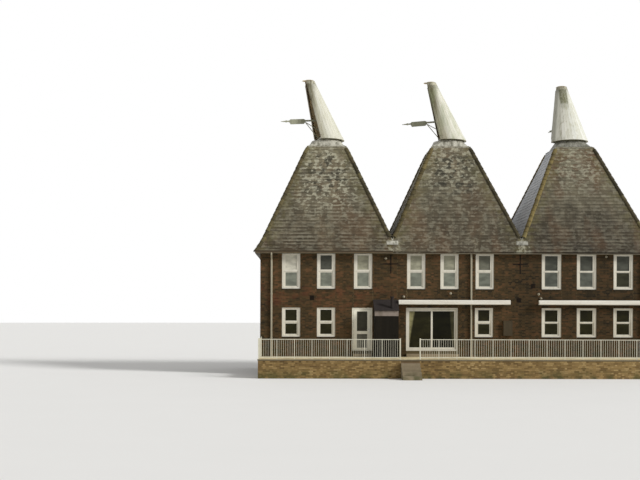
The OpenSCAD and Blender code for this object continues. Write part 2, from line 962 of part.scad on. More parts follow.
module store_board() {
    color("#a39c90")
        along_x(store_low_x, store_high_x)
            intersection() {
                store_side();
                translate([store_y, store_top_z - store_board_h])
                    square([side_t, far]);
            }
}

// The felted roof, and a short flue that stands near its right-hand corner.
module store_roof() {
    out = 60;
    thick = 45;
    flue_at = [store_high_x - 310, store_y + 110];
    flue_r = 75;
    flue_h = 560;
    flue_cap = [100, 60];
    color("#4b4541") {
        along_x(store_low_x - out / 2, store_high_x + out / 2)
            polygon([
                [store_y - out, store_top_z - out * store_rise],
                [wall_y, store_top_z + store_d * store_rise],
                [wall_y, store_top_z + store_d * store_rise + thick],
                [store_y - out, store_top_z - out * store_rise + thick]
            ]);
        translate([flue_at.x, flue_at.y, store_top_z + (flue_at.y - store_y + flue_r) * store_rise]) {
            cylinder(h = flue_h, r = flue_r, $fn = pipe_facets);
            translate([0, 0, flue_h - flue_cap.y])
                cylinder(h = flue_cap.y, r = flue_cap.x, $fn = pipe_facets);
        }
    }
}

store_door_x = store_low_x + store_post + leaf_gap;
store_door_w = store_w - 2 * store_post - 2 * leaf_gap;
store_hinge_y = store_y - hinge_out;

module store_door() {
    thick = 35;
    strap = [500, 8, 40];
    strap_foot = 250;
    strap_head = 290;
    latch = [20, 30, 120];
    latch_x = 80;
    latch_z = 1000;
    low_z = terrace_h + store_leaf_gap;
    color("#1f2a22") {
        block([store_door_x, store_y, low_z],
              [store_door_x + store_door_w, store_y + thick, store_door_top]);
        for (z = [low_z + strap_foot, store_door_top - strap_head])
            translate([store_door_x - leaf_gap / 2, store_hinge_y, z]) {
                cylinder(h = strap.z, r = hinge_r, $fn = bar_facets);
                translate([0, hinge_out - strap.y, 0]) cube(strap);
            }
        translate([store_door_x + store_door_w - latch_x, store_y - latch.y, low_z + latch_z])
            cube(latch);
    }
}

// Terrace, steps and railing

module terrace_base() {
    color("#5a4332")
        block([-terrace_half, terrace_y, 0], [terrace_half, wall_y, terrace_h - paving_t]);
}

module terrace_paving() {
    color("#b5ab93")
        block([-terrace_half - coping_out, terrace_y - coping_out, terrace_h - paving_t],
              [terrace_half + coping_out, wall_y, terrace_h]);
}

// The garden steps, and one stone step before each door.
module steps() {
    door_step = [300, (floor_h - terrace_h) / 2];
    step_in = 100;
    color("#8b7d69") {
        for (k = [1:riser_count - 1])
            block([steps_x - steps_w / 2, front_y + (k - 1) * tread_d, 0],
                  [steps_x + steps_w / 2, terrace_y, k * riser_h]);
        for (door = [[door_x, door_w - step_in], [patio_x, patio_w]])
            block([door[0] - door[1] / 2, wall_y - door_step[0], terrace_h],
                  [door[0] + door[1] / 2, wall_y, terrace_h + door_step[1]]);
    }
}

// A straight run of railing along +X from the origin, on the paving.
module railing_run(length, end_w = [end_post_w, end_post_w]) {
    foot = 80;
    rail = [40, 30];
    post_over = 40;
    inner = length - end_w[0] - end_w[1];
    bays = max(1, round(inner / post_pitch));
    bay = inner / bays;
    bars = floor((bay - post_w) / baluster_pitch);
    for (end = [0, 1])
        if (end_w[end] > 0)
            translate([end * (length - end_w[1]), -end_w[end] / 2, 0])
                cube([end_w[end], end_w[end], railing_h + post_over]);
    translate([end_w[0], -rail[0] / 2, foot]) cube([inner, rail[0], rail[1]]);
    translate([end_w[0], -rail[0] / 2, railing_h - rail[1]]) cube([inner, rail[0], rail[1]]);
    for (k = [1:1:bays - 1])
        translate([end_w[0] + k * bay - post_w / 2, -post_w / 2, 0])
            cube([post_w, post_w, railing_h]);
    for (k = [0:bays - 1], b = [1:bars])
        translate([end_w[0] + (k + b / (bars + 1)) * bay - baluster_w / 2,
                   -baluster_w / 2, foot])
            cube([baluster_w, baluster_w, railing_h - foot]);
}

// Two runs along the front, and a return from each corner post to the house.
module railings() {
    joint = 1;
    line_y = terrace_y + end_post_w / 2;
    return_y = terrace_y + end_post_w + joint;
    gap = [steps_x - steps_w / 2, steps_x + steps_w / 2];
    color("#cfccc0")
        translate([0, 0, terrace_h]) {
            translate([-terrace_half, line_y, 0]) railing_run(gap[0] + terrace_half);
            translate([gap[1], line_y, 0]) railing_run(terrace_half - gap[1]);
            for (side = [-1, 1])
                translate([side * (terrace_half - end_post_w / 2), return_y, 0])
                    rotate(90) railing_run(wall_y - return_y, [0, post_w]);
        }
}

// Fittings on the front

// A box gutter along the left kiln's eaves.
module gutter() {
    wide = 110;
    high = 110;
    skin = 8;
    splay = [24, 42];
    back_h = eaves_edge - skin;
    color("#54432f")
        along_x(-half_row - eaves_out, -party_x)
            translate([wall_y - eaves_out, wall_top_z])
                polygon([
                    [0, 0], [0, back_h], [-skin, back_h], [-skin, skin],
                    [-wide + splay.x, skin], [-wide + skin, splay.y],
                    [-wide + skin, high], [-wide, high],
                    [-wide, splay.y], [-wide + splay.x, 0]
                ]);
}

// The left pipe swings out under the gutter, and the others rise to the soffit.
module downpipes() {
    neck_r = pipe_r - 8;
    neck_out = 55;
    neck_drop = 60;
    swan_drop = 260;
    collar = [8, 70];
    collar_z = [upper_sill_z - 300, terrace_h + 900];
    wall_gap = 20;
    pipe_y = wall_y - pipe_r - wall_gap;
    neck_y = wall_y - eaves_out - neck_out;
    neck_z = wall_top_z - soffit_t - neck_drop;
    elbow_z = neck_z - swan_drop;
    color("#b3a593") {
        for (x = pipe_x) {
            top = x == pipe_x[0] ? elbow_z : wall_top_z - soffit_t;
            translate([x, pipe_y, terrace_h])
                cylinder(h = top - terrace_h, r = pipe_r, $fn = pipe_facets);
            for (z = collar_z)
                translate([x, pipe_y, z])
                    cylinder(h = collar.y, r = pipe_r + collar.x, $fn = pipe_facets);
        }
        translate([pipe_x[0], neck_y, neck_z])
            cylinder(h = wall_top_z - neck_z, r = neck_r, $fn = pipe_facets);
        translate([pipe_x[0], neck_y, neck_z]) sphere(r = neck_r, $fn = pipe_facets);
        rod([pipe_x[0], neck_y, neck_z], [pipe_x[0], pipe_y, elbow_z], neck_r);
        translate([pipe_x[0], pipe_y, elbow_z]) sphere(r = pipe_r, $fn = pipe_facets);
    }
}

// Rolled awnings in long cassettes, held off the wall by three brackets each.
module awnings() {
    off = 150;
    deep = 210;
    nose = 60;
    heel = [30, 20];
    bracket_w = 60;
    bracket_at = [0.09, 0.5, 0.91];
    low_z = floor_h + awning_z - awning_h / 2;
    high_z = low_z + awning_h;
    back = wall_y - off;
    color("#dedbcd")
        for (x = awning_x) {
            along_x(x, x + awning_w)
                polygon([
                    [back, low_z + heel.y], [back, high_z - heel.y], [back - heel.x, high_z],
                    [back - deep + nose, high_z], [back - deep, high_z - nose],
                    [back - deep, low_z + nose / 2], [back - deep + nose / 2, low_z],
                    [back - heel.x, low_z]
                ]);
            for (along = bracket_at)
                translate([x + along * awning_w, 0, 0])
                    block([-bracket_w / 2, back, low_z + bracket_w],
                          [bracket_w / 2, wall_y, high_z - bracket_w]);
        }
}

// Wrought iron crosses that end the tie rods through the party walls.
module tie_crosses() {
    bar = 60;
    thick = 14;
    arm = [380, 470];
    washer = [55, 45];
    nut = [26, 70];
    color("#241f1b")
        for (x = tie_x)
            translate([x, wall_y, floor_h + tie_z]) {
                block([-bar / 2, -thick, -arm.y], [bar / 2, 0, arm.y]);
                block([-arm.x, -thick, -bar / 2], [arm.x, 0, bar / 2]);
                rotate([90, 0, 0]) cylinder(h = washer.y, r = washer.x, $fn = pipe_facets);
                rotate([90, 0, 0]) cylinder(h = nut.y, r = nut.x, $fn = 6);
            }
}

module meter_cupboard() {
    box = [450, 150, 760];
    above_floor = 760;
    middle_x = 2515;
    hood = [30, 20];
    color("#8d8577")
        translate([middle_x - box.x / 2, wall_y, floor_h + above_floor])
            along_x(0, box.x)
                polygon([[0, 0], [0, box.z], [-box.y + hood.x, box.z - hood.y],
                         [-box.y, box.z - 2 * hood.y], [-box.y, 0]]);
}

terrace_base();
terrace_paving();
steps();
railings();
plinth();
ground_floor();
front_wall_left();
front_wall_pier();
front_wall_right();
front_wall_head();
front_wall_upper();
back_wall();
end_wall(-1);  // end_wall_left
end_wall(1);  // end_wall_right
party_walls();
upper_floor();
soffit();
kiln_roof(LEFT);  // kiln_roof_left
kiln_roof(MIDDLE);  // kiln_roof_middle
kiln_roof(RIGHT);  // kiln_roof_right
valley_lead();
roof_curbs();
cowl_bearers();
gutter();
downpipes();
upper_windows();
upper_window_glass();
lower_windows();
lower_window_glass();
glazed_door_frame();
glazed_door_leaf();
glazed_door_glass();
glazed_door_handle();
patio_door_frame();
patio_sliding_panel();
patio_sliding_glass();
store_frame();
store_board();
store_roof();
store_door();
awnings();
tie_crosses();
meter_cupboard();
cowl_hood(LEFT);  // cowl_left_hood
cowl_frame(LEFT);  // cowl_left_frame
cowl_post(LEFT);  // cowl_left_post
cowl_vane(LEFT);  // cowl_left_vane
cowl_hood(MIDDLE);  // cowl_middle_hood
cowl_frame(MIDDLE);  // cowl_middle_frame
cowl_post(MIDDLE);  // cowl_middle_post
cowl_vane(MIDDLE);  // cowl_middle_vane
cowl_hood(RIGHT);  // cowl_right_hood
cowl_frame(RIGHT);  // cowl_right_frame
cowl_post(RIGHT);  // cowl_right_post
cowl_vane(RIGHT);  // cowl_right_vane
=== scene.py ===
"""Looks of the oast house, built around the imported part.

Lengths are metres in the part's own frame: +X along the row, +Y into the house
and +Z up, with the origin on the ground under the middle of the whole.
"""

import json
import logging
import math
from dataclasses import dataclass, replace
from enum import Enum
from typing import Iterable, NamedTuple, Protocol, Sequence

import bmesh
import bpy
from mathutils import Euler, Matrix, Vector

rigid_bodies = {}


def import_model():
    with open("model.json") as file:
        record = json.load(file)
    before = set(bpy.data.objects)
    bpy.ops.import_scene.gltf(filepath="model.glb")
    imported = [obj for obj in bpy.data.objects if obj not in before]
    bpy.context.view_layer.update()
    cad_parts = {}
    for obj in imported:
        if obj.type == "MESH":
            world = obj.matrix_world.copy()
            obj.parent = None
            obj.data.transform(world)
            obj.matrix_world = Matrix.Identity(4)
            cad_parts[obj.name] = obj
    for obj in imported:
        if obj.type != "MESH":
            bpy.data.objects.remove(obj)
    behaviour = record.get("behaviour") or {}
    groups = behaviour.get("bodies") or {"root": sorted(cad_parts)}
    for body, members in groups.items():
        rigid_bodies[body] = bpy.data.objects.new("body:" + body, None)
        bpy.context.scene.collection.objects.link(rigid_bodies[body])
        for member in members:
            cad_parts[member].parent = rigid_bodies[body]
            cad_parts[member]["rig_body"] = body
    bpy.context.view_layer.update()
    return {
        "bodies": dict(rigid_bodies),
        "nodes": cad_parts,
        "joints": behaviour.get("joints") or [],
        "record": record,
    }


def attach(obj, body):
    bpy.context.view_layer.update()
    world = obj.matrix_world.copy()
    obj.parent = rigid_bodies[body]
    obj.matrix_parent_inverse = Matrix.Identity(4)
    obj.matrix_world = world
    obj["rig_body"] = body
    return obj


log = logging.getLogger("oast_house")

Piece = bpy.types.Object
Mesh = bpy.types.Mesh
Work = bmesh.types.BMesh
Material = bpy.types.Material
Pair = tuple[float, float]
Triple = tuple[float, float, float]
Colour = Triple

# A Span runs from a start to an end, a Window fades in over one span and out over another,
# and ByRoof has a value for the left, the middle and the right kiln.
Span = Pair
Window = tuple[Span, Span]
ByRoof = Triple

UP = Vector((0.0, 0.0, 1.0))

# The kilns stand PITCH apart and their eaves are at EAVES_Z. A cowl's foot is at COWL_Z,
# and its hood narrows from one radius to the other on the way up.
PITCH = 6.48
EAVES_Z = 6.11
COWL_Z = 12.195
COWL_HIGH = 3.125
COWL_FOOT_R = 0.95
COWL_TOP_R = 0.27


def rgb(red: int, green: int, blue: int) -> Colour:
    """Turns a colour as a screen shows it (sRGB) into linear light.

    Args:
        red: Red from 0 to 255.
        green: Green from 0 to 255.
        blue: Blue from 0 to 255.

    Returns:
        The same colour in linear light.
    """
    return tuple(
        c / 12.92 if c <= 0.04045 else ((c + 0.055) / 1.055) ** 2.4
        for c in (red / 255, green / 255, blue / 255)
    )


# Shader maths


class Noise(NamedTuple):
    """Soft noise for a material to read.

    Attributes:
        scale: How many spots there are to a metre.
        detail: How many finer layers it has.
        stretch: How much tighter it is along each axis.
        edge: Where it climbs from 0 to 1, or None where it stays soft about 0.5.
    """

    scale: float
    detail: float = 3.0
    stretch: Triple = (1.0, 1.0, 1.0)
    edge: Span | None = None


class Stain(NamedTuple):
    """A colour that lies over another in spots.

    Attributes:
        colour: The colour.
        spots: The noise that it follows.
        share: How much of it shows where it is thickest.
    """

    colour: Colour
    spots: Noise
    share: float = 1.0


class Sock:
    """One value in a material, so that shader maths reads as a sum."""

    def __init__(self, shader: "Shader", socket: bpy.types.NodeSocket) -> None:
        """Wraps the socket of a node of that shader."""
        self.shader = shader
        self.socket = socket

    def __add__(self, other: "Sock | float") -> "Sock":
        """This plus the other."""
        return self.shader.math("ADD", self, other)

    def __radd__(self, other: float) -> "Sock":
        """The other plus this."""
        return self.shader.math("ADD", other, self)

    def __sub__(self, other: "Sock | float") -> "Sock":
        """This less the other."""
        return self.shader.math("SUBTRACT", self, other)

    def __rsub__(self, other: float) -> "Sock":
        """The other less this."""
        return self.shader.math("SUBTRACT", other, self)

    def __mul__(self, other: "Sock | float") -> "Sock":
        """This times the other."""
        return self.shader.math("MULTIPLY", self, other)

    def __rmul__(self, other: float) -> "Sock":
        """The other times this."""
        return self.shader.math("MULTIPLY", other, self)

    def far(self) -> "Sock":
        """How far this is from 0."""
        return self.shader.math("ABSOLUTE", self)

    def in_bay(self, pitch: float) -> "Sock":
        """How far this is past the middle of its own bay, in a row of bays about 0."""
        return self.shader.math("FLOORED_MODULO", self + pitch / 2, pitch) - pitch / 2

    def to(self, low: float, high: float) -> "Sock":
        """Goes from low to high as this goes from 0 to 1."""
        return self * (high - low) + low

    def rise(self, low: float, high: float) -> "Sock":
        """Climbs smoothly from 0 to 1 as this goes from low to high.

        Args:
            low: Where the climb starts. It may be above high, for a fall.
            high: Where the climb ends.

        Returns:
            The eased value.
        """
        return self.shader.node(
            "ShaderNodeMapRange",
            {"interpolation_type": "SMOOTHSTEP"},
            {"Value": self, "From Min": low, "From Max": high},
        )

    def within(self, start: Span, end: Span) -> "Sock":
        """Climbs from 0 to 1 over the first span and falls back over the second."""
        return self.rise(*start) * self.rise(*end)


class Shader:
    """Builds one material node by node."""

    def __init__(self, name: str) -> None:
        """Starts an empty material.

        Args:
            name: The material's name.
        """
        self.material = bpy.data.materials.new(name)
        self.material.use_nodes = True
        self.tree = self.material.node_tree
        self.tree.nodes.clear()
        self.here = self.node("ShaderNodeTexCoord", output="Object")

    def node(
        self,
        kind: str,
        settings: dict[str, object] | None = None,
        inputs: dict[int | str, object] | None = None,
        output: int | str = 0,
    ) -> Sock:
        """Adds one node.

        Args:
            kind: The node's type.
            settings: Its properties. "stops" holds a colour ramp's places and colours.
            inputs: A value or a Sock for each input, by number, name or identifier.
            output: The output to hand back.

        Returns:
            That output.
        """
        made = self.tree.nodes.new(kind)
        for key, value in (settings or {}).items():
            if key == "stops":
                self._fill_ramp(made.color_ramp, value)
            else:
                setattr(made, key, value)
        for key, value in (inputs or {}).items():
            socket = self._find(made.inputs, key)
            if isinstance(value, Sock):
                self.tree.links.new(value.socket, socket)
            elif socket.type == "RGBA":
                socket.default_value = (*value, 1.0)
            else:
                socket.default_value = value
        return Sock(self, self._find(made.outputs, output))

    @staticmethod
    def _find(sockets: Sequence[bpy.types.NodeSocket], key: int | str) -> bpy.types.NodeSocket:
        """Finds one socket of a node.

        Args:
            sockets: The node's inputs or outputs.
            key: The socket's number, identifier or name.

        Returns:
            The socket.
        """
        if isinstance(key, int):
            return sockets[key]
        return next((s for s in sockets if s.identifier == key), None) or sockets[key]

    @staticmethod
    def _fill_ramp(ramp: bpy.types.ColorRamp, stops: Sequence[tuple[float, Colour]]) -> None:
        """Puts the stops on a colour ramp.

        Args:
            ramp: The ramp, with its first two stops.
            stops: The place and the colour of each stop.
        """
        while len(ramp.elements) < len(stops):
            ramp.elements.new(1.0)
        for element, (place, colour) in zip(ramp.elements, stops):
            element.position = place
            element.color = (*colour, 1.0)

    def math(self, operation: str, *terms: Sock | float) -> Sock:
        """Adds a Math node with that operation and those inputs, and hands back its result."""
        return self.node("ShaderNodeMath", {"operation": operation}, dict(enumerate(terms)))

    def attribute(self, name: str) -> Sock:
        """The value that each copy carries under that name, or 0 without one."""
        return self.node("ShaderNodeAttribute", {"attribute_name": name}, output="Fac")

    def axis(self, name: str) -> Sock:
        """The place along X, Y or Z."""
        return self.node("ShaderNodeSeparateXYZ", None, {0: self.here}, name)

    def noise(self, kind: Noise) -> Sock:
        """Adds noise at the piece's own place.

        Args:
            kind: The noise wanted.

        Returns:
            Its value.
        """
        spread = self.node("ShaderNodeVectorMath", {"operation": "MULTIPLY"},
                           {0: self.here, 1: kind.stretch})
        soft = self.node("ShaderNodeTexNoise", None,
                         {"Vector": spread, "Scale": kind.scale, "Detail": kind.detail})
        return soft.rise(*kind.edge) if kind.edge else soft

    def shades(self, value: Sock, tones: Sequence[Colour]) -> Sock:
        """The colour at a value on evenly spaced tones, from 0 at the first to 1 at the last."""
        stops = [(k / (len(tones) - 1), tone) for k, tone in enumerate(tones)]
        return self.node("ShaderNodeValToRGB", {"stops": stops}, {0: value})

    def mix(
        self, low: Sock | Colour, high: Sock | Colour, share: Sock | float, blend: str = "MIX"
    ) -> Sock:
        """Lays one colour over another.

        Args:
            low: The colour below.
            high: The colour laid over it.
            share: How much of it shows.
            blend: The way they mix.

        Returns:
            The mixed colour.
        """
        return self.node(
            "ShaderNodeMix",
            {"data_type": "RGBA", "blend_type": blend},
            {"Factor_Float": share, "A_Color": low, "B_Color": high},
            "Result_Color",
        )

    def stain(self, base: Sock | Colour, stain: Stain, where: Sock) -> Sock:
        """Lays a stain's spots over a colour, as thick as where says."""
        return self.mix(base, stain.colour, where * self.noise(stain.spots) * stain.share)

    def lighten(self, base: Sock | Colour, amount: Sock) -> Sock:
        """Multiplies a colour by a grey of that amount."""
        grey = self.node("ShaderNodeCombineColor", None, {0: amount, 1: amount, 2: amount})
        return self.mix(base, grey, 1.0, "MULTIPLY")

    def bump(self, height: Sock, deep: float, strength: float = 1.0) -> Sock:
        """A normal that follows a height, deep metres from 0 to 1."""
        inputs = {"Height": height, "Distance": deep, "Strength": strength}
        return self.node("ShaderNodeBump", None, inputs, "Normal")

    def finish(self, **inputs: Sock | float | Colour) -> Material:
        """Ends the material in one Principled shader.

        Args:
            **inputs: Its inputs, with low lines for spaces.

        Returns:
            The material.
        """
        named = {key.replace("_", " "): value for key, value in inputs.items()}
        surface = self.node("ShaderNodeBsdfPrincipled", None, named)
        end = self.tree.nodes.new("ShaderNodeOutputMaterial")
        self.tree.links.new(surface.socket, end.inputs["Surface"])
        return self.material


# Finishes

UMBER = rgb(98, 76, 54)
LICHEN = rgb(186, 183, 160)
OLIVE_GREY = rgb(92, 90, 72)
MOSS = Stain(rgb(66, 70, 38), Noise(2.2, 4.0, edge=(0.34, 0.68)), 0.75)


@dataclass(frozen=True)
class Masonry:
    """Brick, stone or mortar: blocks of several tones, grained, stained and mossy."""

    name: str
    tones: tuple[Colour, ...]
    laid: bool = True
    own: Noise = Noise(3.1, 4.0)
    own_share: float = 0.7
    cloud: Noise = Noise(0.35, 5.0)
    cloud_share: float = 0.9
    drift: Noise = Noise(2.4, 5.0)
    drift_share: float = 0.0
    darker: float = 0.3
    grain: Noise = Noise(45.0, 6.0)
    grain_light: Span = (0.75, 1.25)
    lumps: Noise = Noise(9.0, 3.0)
    lump_share: float = 0.6
    deep: float = 0.003
    warm: Stain | None = None
    warm_z: Window = ((2.9, 3.7), (4.9, 4.1))
    warm_x: Span = (-2.4, -4.4)
    moss: Stain = MOSS
    moss_top: float = 0.0
    darkening: float = 0.0
    darkening_x: Span = (2.4, 3.3)
    patina: Colour | None = None
    patina_share: Span = (0.2, 0.85)
    patina_spots: Noise = Noise(2.6, 5.0, edge=(0.34, 0.6))
    rough: Span = (0.78, 0.98)
    shine: float = 0.2

    def make(self) -> Material:
        """Builds the material.

        Returns:
            The material.
        """
        s = Shader(self.name)
        pick = s.attribute("tone") if self.laid else s.noise(self.own)
        value = pick * self.own_share + s.noise(self.cloud) * self.cloud_share
        value += s.noise(self.drift) * self.drift_share - (self.darker + self.drift_share / 2)
        grain = s.noise(self.grain)
        base = s.lighten(s.shades(value, self.tones), grain.to(*self.grain_light))
        if self.warm:
            where = s.axis("Z").within(*self.warm_z) * s.axis("X").rise(*self.warm_x)
            base = s.stain(base, self.warm, where)
        if self.moss_top:
            base = s.stain(base, self.moss, s.axis("Z").rise(self.moss_top, 0.0))
        # Darker towards the right kiln.
        if self.darkening:
            base = s.lighten(base, 1.0 - s.axis("X").rise(*self.darkening_x) * self.darkening)
        if self.patina:
            share = s.noise(self.patina_spots).to(*self.patina_share)
            base = s.mix(base, self.patina, share * s.attribute("grade"))
        return s.finish(
            Base_Color=base,
            Specular_IOR_Level=self.shine,
            Roughness=grain.to(*self.rough),
            Normal=s.bump(grain + s.noise(self.lumps) * self.lump_share, self.deep),
        )


class RoofPlace(NamedTuple):
    """Where a point of the roofs is, as a material reads it.

    Attributes:
        x: Its place along the row.
        z: Its height.
        aside: How far it is from the middle of its own roof.
        middle: 1 on the middle roof.
        east: 1 on the right roof.
    """

    x: Sock
    z: Sock
    aside: Sock
    middle: Sock
    east: Sock

    def share(self, by_roof: ByRoof) -> Sock:
        """What the point's own roof has, of the left, the middle and the right roof's values."""
        left, middle, right = by_roof
        return self.middle * (middle - left) + self.east * (right - left) + left


@dataclass(frozen=True)
class Mottle:
    """Dark pits and pale lichen on the slates, most of all under the curb."""

    pit: Colour = rgb(50, 48, 38)
    crown_z: Window = ((8.6, 9.8), (11.7, 10.9))
    crown_aside: Span = (1.5, 0.7)
    wide_drop: ByRoof = (0.0, 1.2, 1.2)
    wide_foot: Span = (7.4, 9.6)
    wide_aside: Span = (2.4, 0.8)
    pits: Noise = Noise(2.3, 6.0, (1.2, 1.0, 1.5), (0.5, 0.57))
    pit_share: ByRoof = (0.72, 0.72, 0.26)
    pit_least: float = 0.14
    umber_share: float = 0.6
    crust: Noise = Noise(4.6, 7.0, (1.0, 1.0, 1.6))
    crust_own: float = 0.08
    crust_edge: Span = (0.54, 0.64)
    crust_share: ByRoof = (0.46, 0.36, 0.32)
    crust_least: ByRoof = (0.12, 0.15, 0.08)
    darkening_aside: Span = (2.6, 1.0)
    darkening_z: Window = ((6.9, 8.0), (11.0, 9.6))
    darkening_share: float = 0.22
    dim_z: Span = (8.0, 10.5)
    dim_share: Span = (0.32, 0.04)

    def over(self, s: Shader, base: Sock, at: RoofPlace) -> Sock:
        """Lays the mottling over the slates.

        Args:
            s: The material in work.
            base: The slates' colour.
            at: The place on the roofs.

        Returns:
            The mottled colour.
        """
        crown = at.z.within(*self.crown_z) * at.aside.rise(*self.crown_aside)
        wide = (at.z - at.share(self.wide_drop)).rise(*self.wide_foot)
        wide *= at.aside.rise(*self.wide_aside)
        # Darker down the middle of the middle roof.
        darkening = at.z.within(*self.darkening_z) * at.aside.rise(*self.darkening_aside)
        darkening *= at.middle * self.darkening_share
        dim = at.z.rise(*self.dim_z).to(*self.dim_share) * at.east
        base = s.lighten(base, 1.0 - darkening - dim)
        pits = s.noise(self.pits)
        base = s.mix(base, self.pit, pits * (crown * at.share(self.pit_share) + self.pit_least))
        base = s.mix(base, UMBER, pits * wide * at.east * self.umber_share)
        crust = s.noise(self.crust) + s.attribute("tone") * self.crust_own
        share = wide * at.share(self.crust_share) + at.share(self.crust_least)
        return s.mix(base, LICHEN, crust.rise(*self.crust_edge) * share)


@dataclass(frozen=True)
class Slate:
    """Weathered slates: a tone for each, dusty tails, painted shadow along the courses, mossy hips and
    a mottled crown.
    """

    name: str
    low_tones: tuple[Colour, ...]
    high_tones: tuple[Colour, ...]
    # The bluish tones of the right roof's left slope, lightened as a painted sky reflection.
    cool_painted_sheen: tuple[Colour, Colour] = (rgb(188, 191, 198), rgb(216, 218, 222))
    cool_painted_sheen_share: float = 0.9
    mottle: Mottle = Mottle()
    foot: float = 6.1
    top: float = 11.8
    middle_x: Span = (3.2, 3.0)
    east_x: Span = (2.9, 3.6)
    own_share: float = 0.3
    patches: Noise = Noise(0.7, 5.0, (1.0, 1.0, 0.6))
    patch_share: float = 1.5
    spots: Noise = Noise(2.4, 5.0, (1.3, 1.0, 0.8))
    darker: float = 0.9
    warm: Stain = Stain(UMBER, Noise(0.6, 4.0, (1.5, 1.0, 0.5), (0.46, 0.64)))
    warm_share: ByRoof = (0.45, 0.45, 0.65)
    dust: Stain = Stain(rgb(146, 140, 120), Noise(2.1, 5.0, (1.0, 1.0, 0.6), (0.4, 0.66)))
    dust_share: ByRoof = (0.42, 0.16, 0.26)
    tail: Window = ((0.06, 0.18), (0.6, 0.3))
    moss: Stain = Stain(rgb(92, 86, 50), Noise(2.8, 5.0, (1.0, 1.0, 1.4), (0.38, 0.62)), 0.55)
    rake: float = 0.46
    hip: Span = (2.5, 3.5)
    splash: Stain = Stain(LICHEN, Noise(5.0, 4.0, edge=(0.46, 0.58)), 0.42)
    valley: Span = (0.6, 0.15)
    valley_z: Span = (7.0, 6.5)
    # The dark line along each slate's tail is painted shadow.
    line: Span = (0.13, 0.02)
    tail_shadow_spots: Noise = Noise(1.1, 4.0, (1.0, 1.0, 2.0), (0.38, 0.62))
    tail_shadow_share: float = 0.3
    tail_shadow_least: ByRoof = (0.16, 0.06, 0.16)
    grain: Noise = Noise(38.0, 6.0)
    grain_light: Span = (0.75, 1.25)
    swell: Noise = Noise(7.0, 2.0)
    deep: float = 0.002
    rough: Span = (0.86, 0.64)
    shine: float = 0.25

    def make(self) -> Material:
        """Builds the material.

        Returns:
            The material.
        """
        s = Shader(self.name)
        tone, grade, up = s.attribute("tone"), s.attribute("grade"), s.attribute("along")
        x, z = s.axis("X"), s.axis("Z")
        aside = x.in_bay(PITCH).far()
        at = RoofPlace(x, z, aside, x.far().rise(*self.middle_x), x.rise(*self.east_x))
        value = tone * self.own_share + s.noise(self.patches) * self.patch_share
        value += s.noise(self.spots) - self.darker
        base = s.mix(s.shades(value, self.low_tones), s.shades(value, self.high_tones),
                     z.rise(self.foot, self.top))
        base = s.stain(base, self.warm, at.share(self.warm_share))
        base = self.mottle.over(s, base, at)
        base = self._wear(s, base, at, up)
        # Painted reflection: the right roof's left slope, graded 1, turns to a bluer slate lightened
        # to stand for the sky it reflects at a grazing angle.
        base = s.mix(base, s.shades(value, self.cool_painted_sheen), grade * self.cool_painted_sheen_share)
        # Painted shadow: a dark line along the tail of every slate, at the edge of each course.
        shade = s.noise(self.tail_shadow_spots) * self.tail_shadow_share + at.share(self.tail_shadow_least)
        base = s.lighten(base, 1.0 - up.rise(*self.line) * shade)
        grain = s.noise(self.grain)
        return s.finish(
            Base_Color=s.lighten(base, grain.to(*self.grain_light)),
            Specular_IOR_Level=self.shine,
            Roughness=tone.to(*self.rough),
            Normal=s.bump(grain + s.noise(self.swell), self.deep),
        )

    def _wear(self, s: Shader, base: Sock, at: RoofPlace, up: Sock) -> Sock:
        """Lays dust on the tails, moss along the hips and pale splashes in the valleys.

        Args:
            s: The material in work.
            base: The slates' colour.
            at: The place on the roofs.
            up: How far up its own slate the place is, from 0 to 1.

        Returns:
            The worn colour.
        """
        base = s.stain(base, self.dust, up.within(*self.tail) * at.share(self.dust_share))
        hip = (at.aside + (at.z - self.foot) * self.rake).rise(*self.hip)
        base = s.stain(base, self.moss, hip)
        valley = (at.x.far() - PITCH / 2).far().rise(*self.valley)
        return s.stain(base, self.splash, valley * at.z.rise(*self.valley_z))


@dataclass(frozen=True)
class Lead:
    """Sheet lead gone pale and powdery, streaked down the slope."""

    name: str
    pale: Colour = rgb(188, 185, 170)
    dark: Colour = rgb(112, 109, 94)
    darkening: Pair = (0.22, 0.3)
    darkening_x: tuple[Span, Span] = ((2.4, 3.0), (4.0, 4.4))
    dull: Pair = (0.08, 0.26)
    dull_z: tuple[Span, Span] = ((8.4, 8.0), (6.62, 6.47))
    moss: Stain | None = Stain(rgb(70, 72, 46), Noise(5.0, 4.0, edge=(0.44, 0.6)), 0.48)
    moss_z: Span = (12.2, 11.8)
    streaks: Noise = Noise(2.2, 5.0, (3.0, 3.0, 0.7), (0.3, 0.62))
    bloom: Noise = Noise(14.0, 4.0)
    bloom_light: Span = (0.82, 1.18)
    dents: Noise = Noise(3.0, 2.0)
    dent_share: float = 2.0
    deep: float = 0.004
    metallic: float = 0.15
    rough: Span = (0.45, 0.75)

    def make(self) -> Material:
        """Builds the material.

        Returns:
            The material.
        """
        s = Shader(self.name)
        x, z = s.axis("X"), s.axis("Z")
        bloom = s.noise(self.bloom)
        light = bloom.to(*self.bloom_light)
        # Darker towards the right kiln, and lower down.
        for place, spans, shares in ((x, self.darkening_x, self.darkening), (z, self.dull_z, self.dull)):
            for span, share in zip(spans, shares):
                light -= place.rise(*span) * share
        base = s.lighten(s.mix(self.dark, self.pale, s.noise(self.streaks)), light)
        if self.moss:
            base = s.stain(base, self.moss, x.rise(*self.darkening_x[1]) * z.rise(*self.moss_z))
        return s.finish(
            Base_Color=base,
            Metallic=self.metallic,
            Roughness=bloom.to(*self.rough),
            Normal=s.bump(bloom + s.noise(self.dents) * self.dent_share, self.deep),
        )


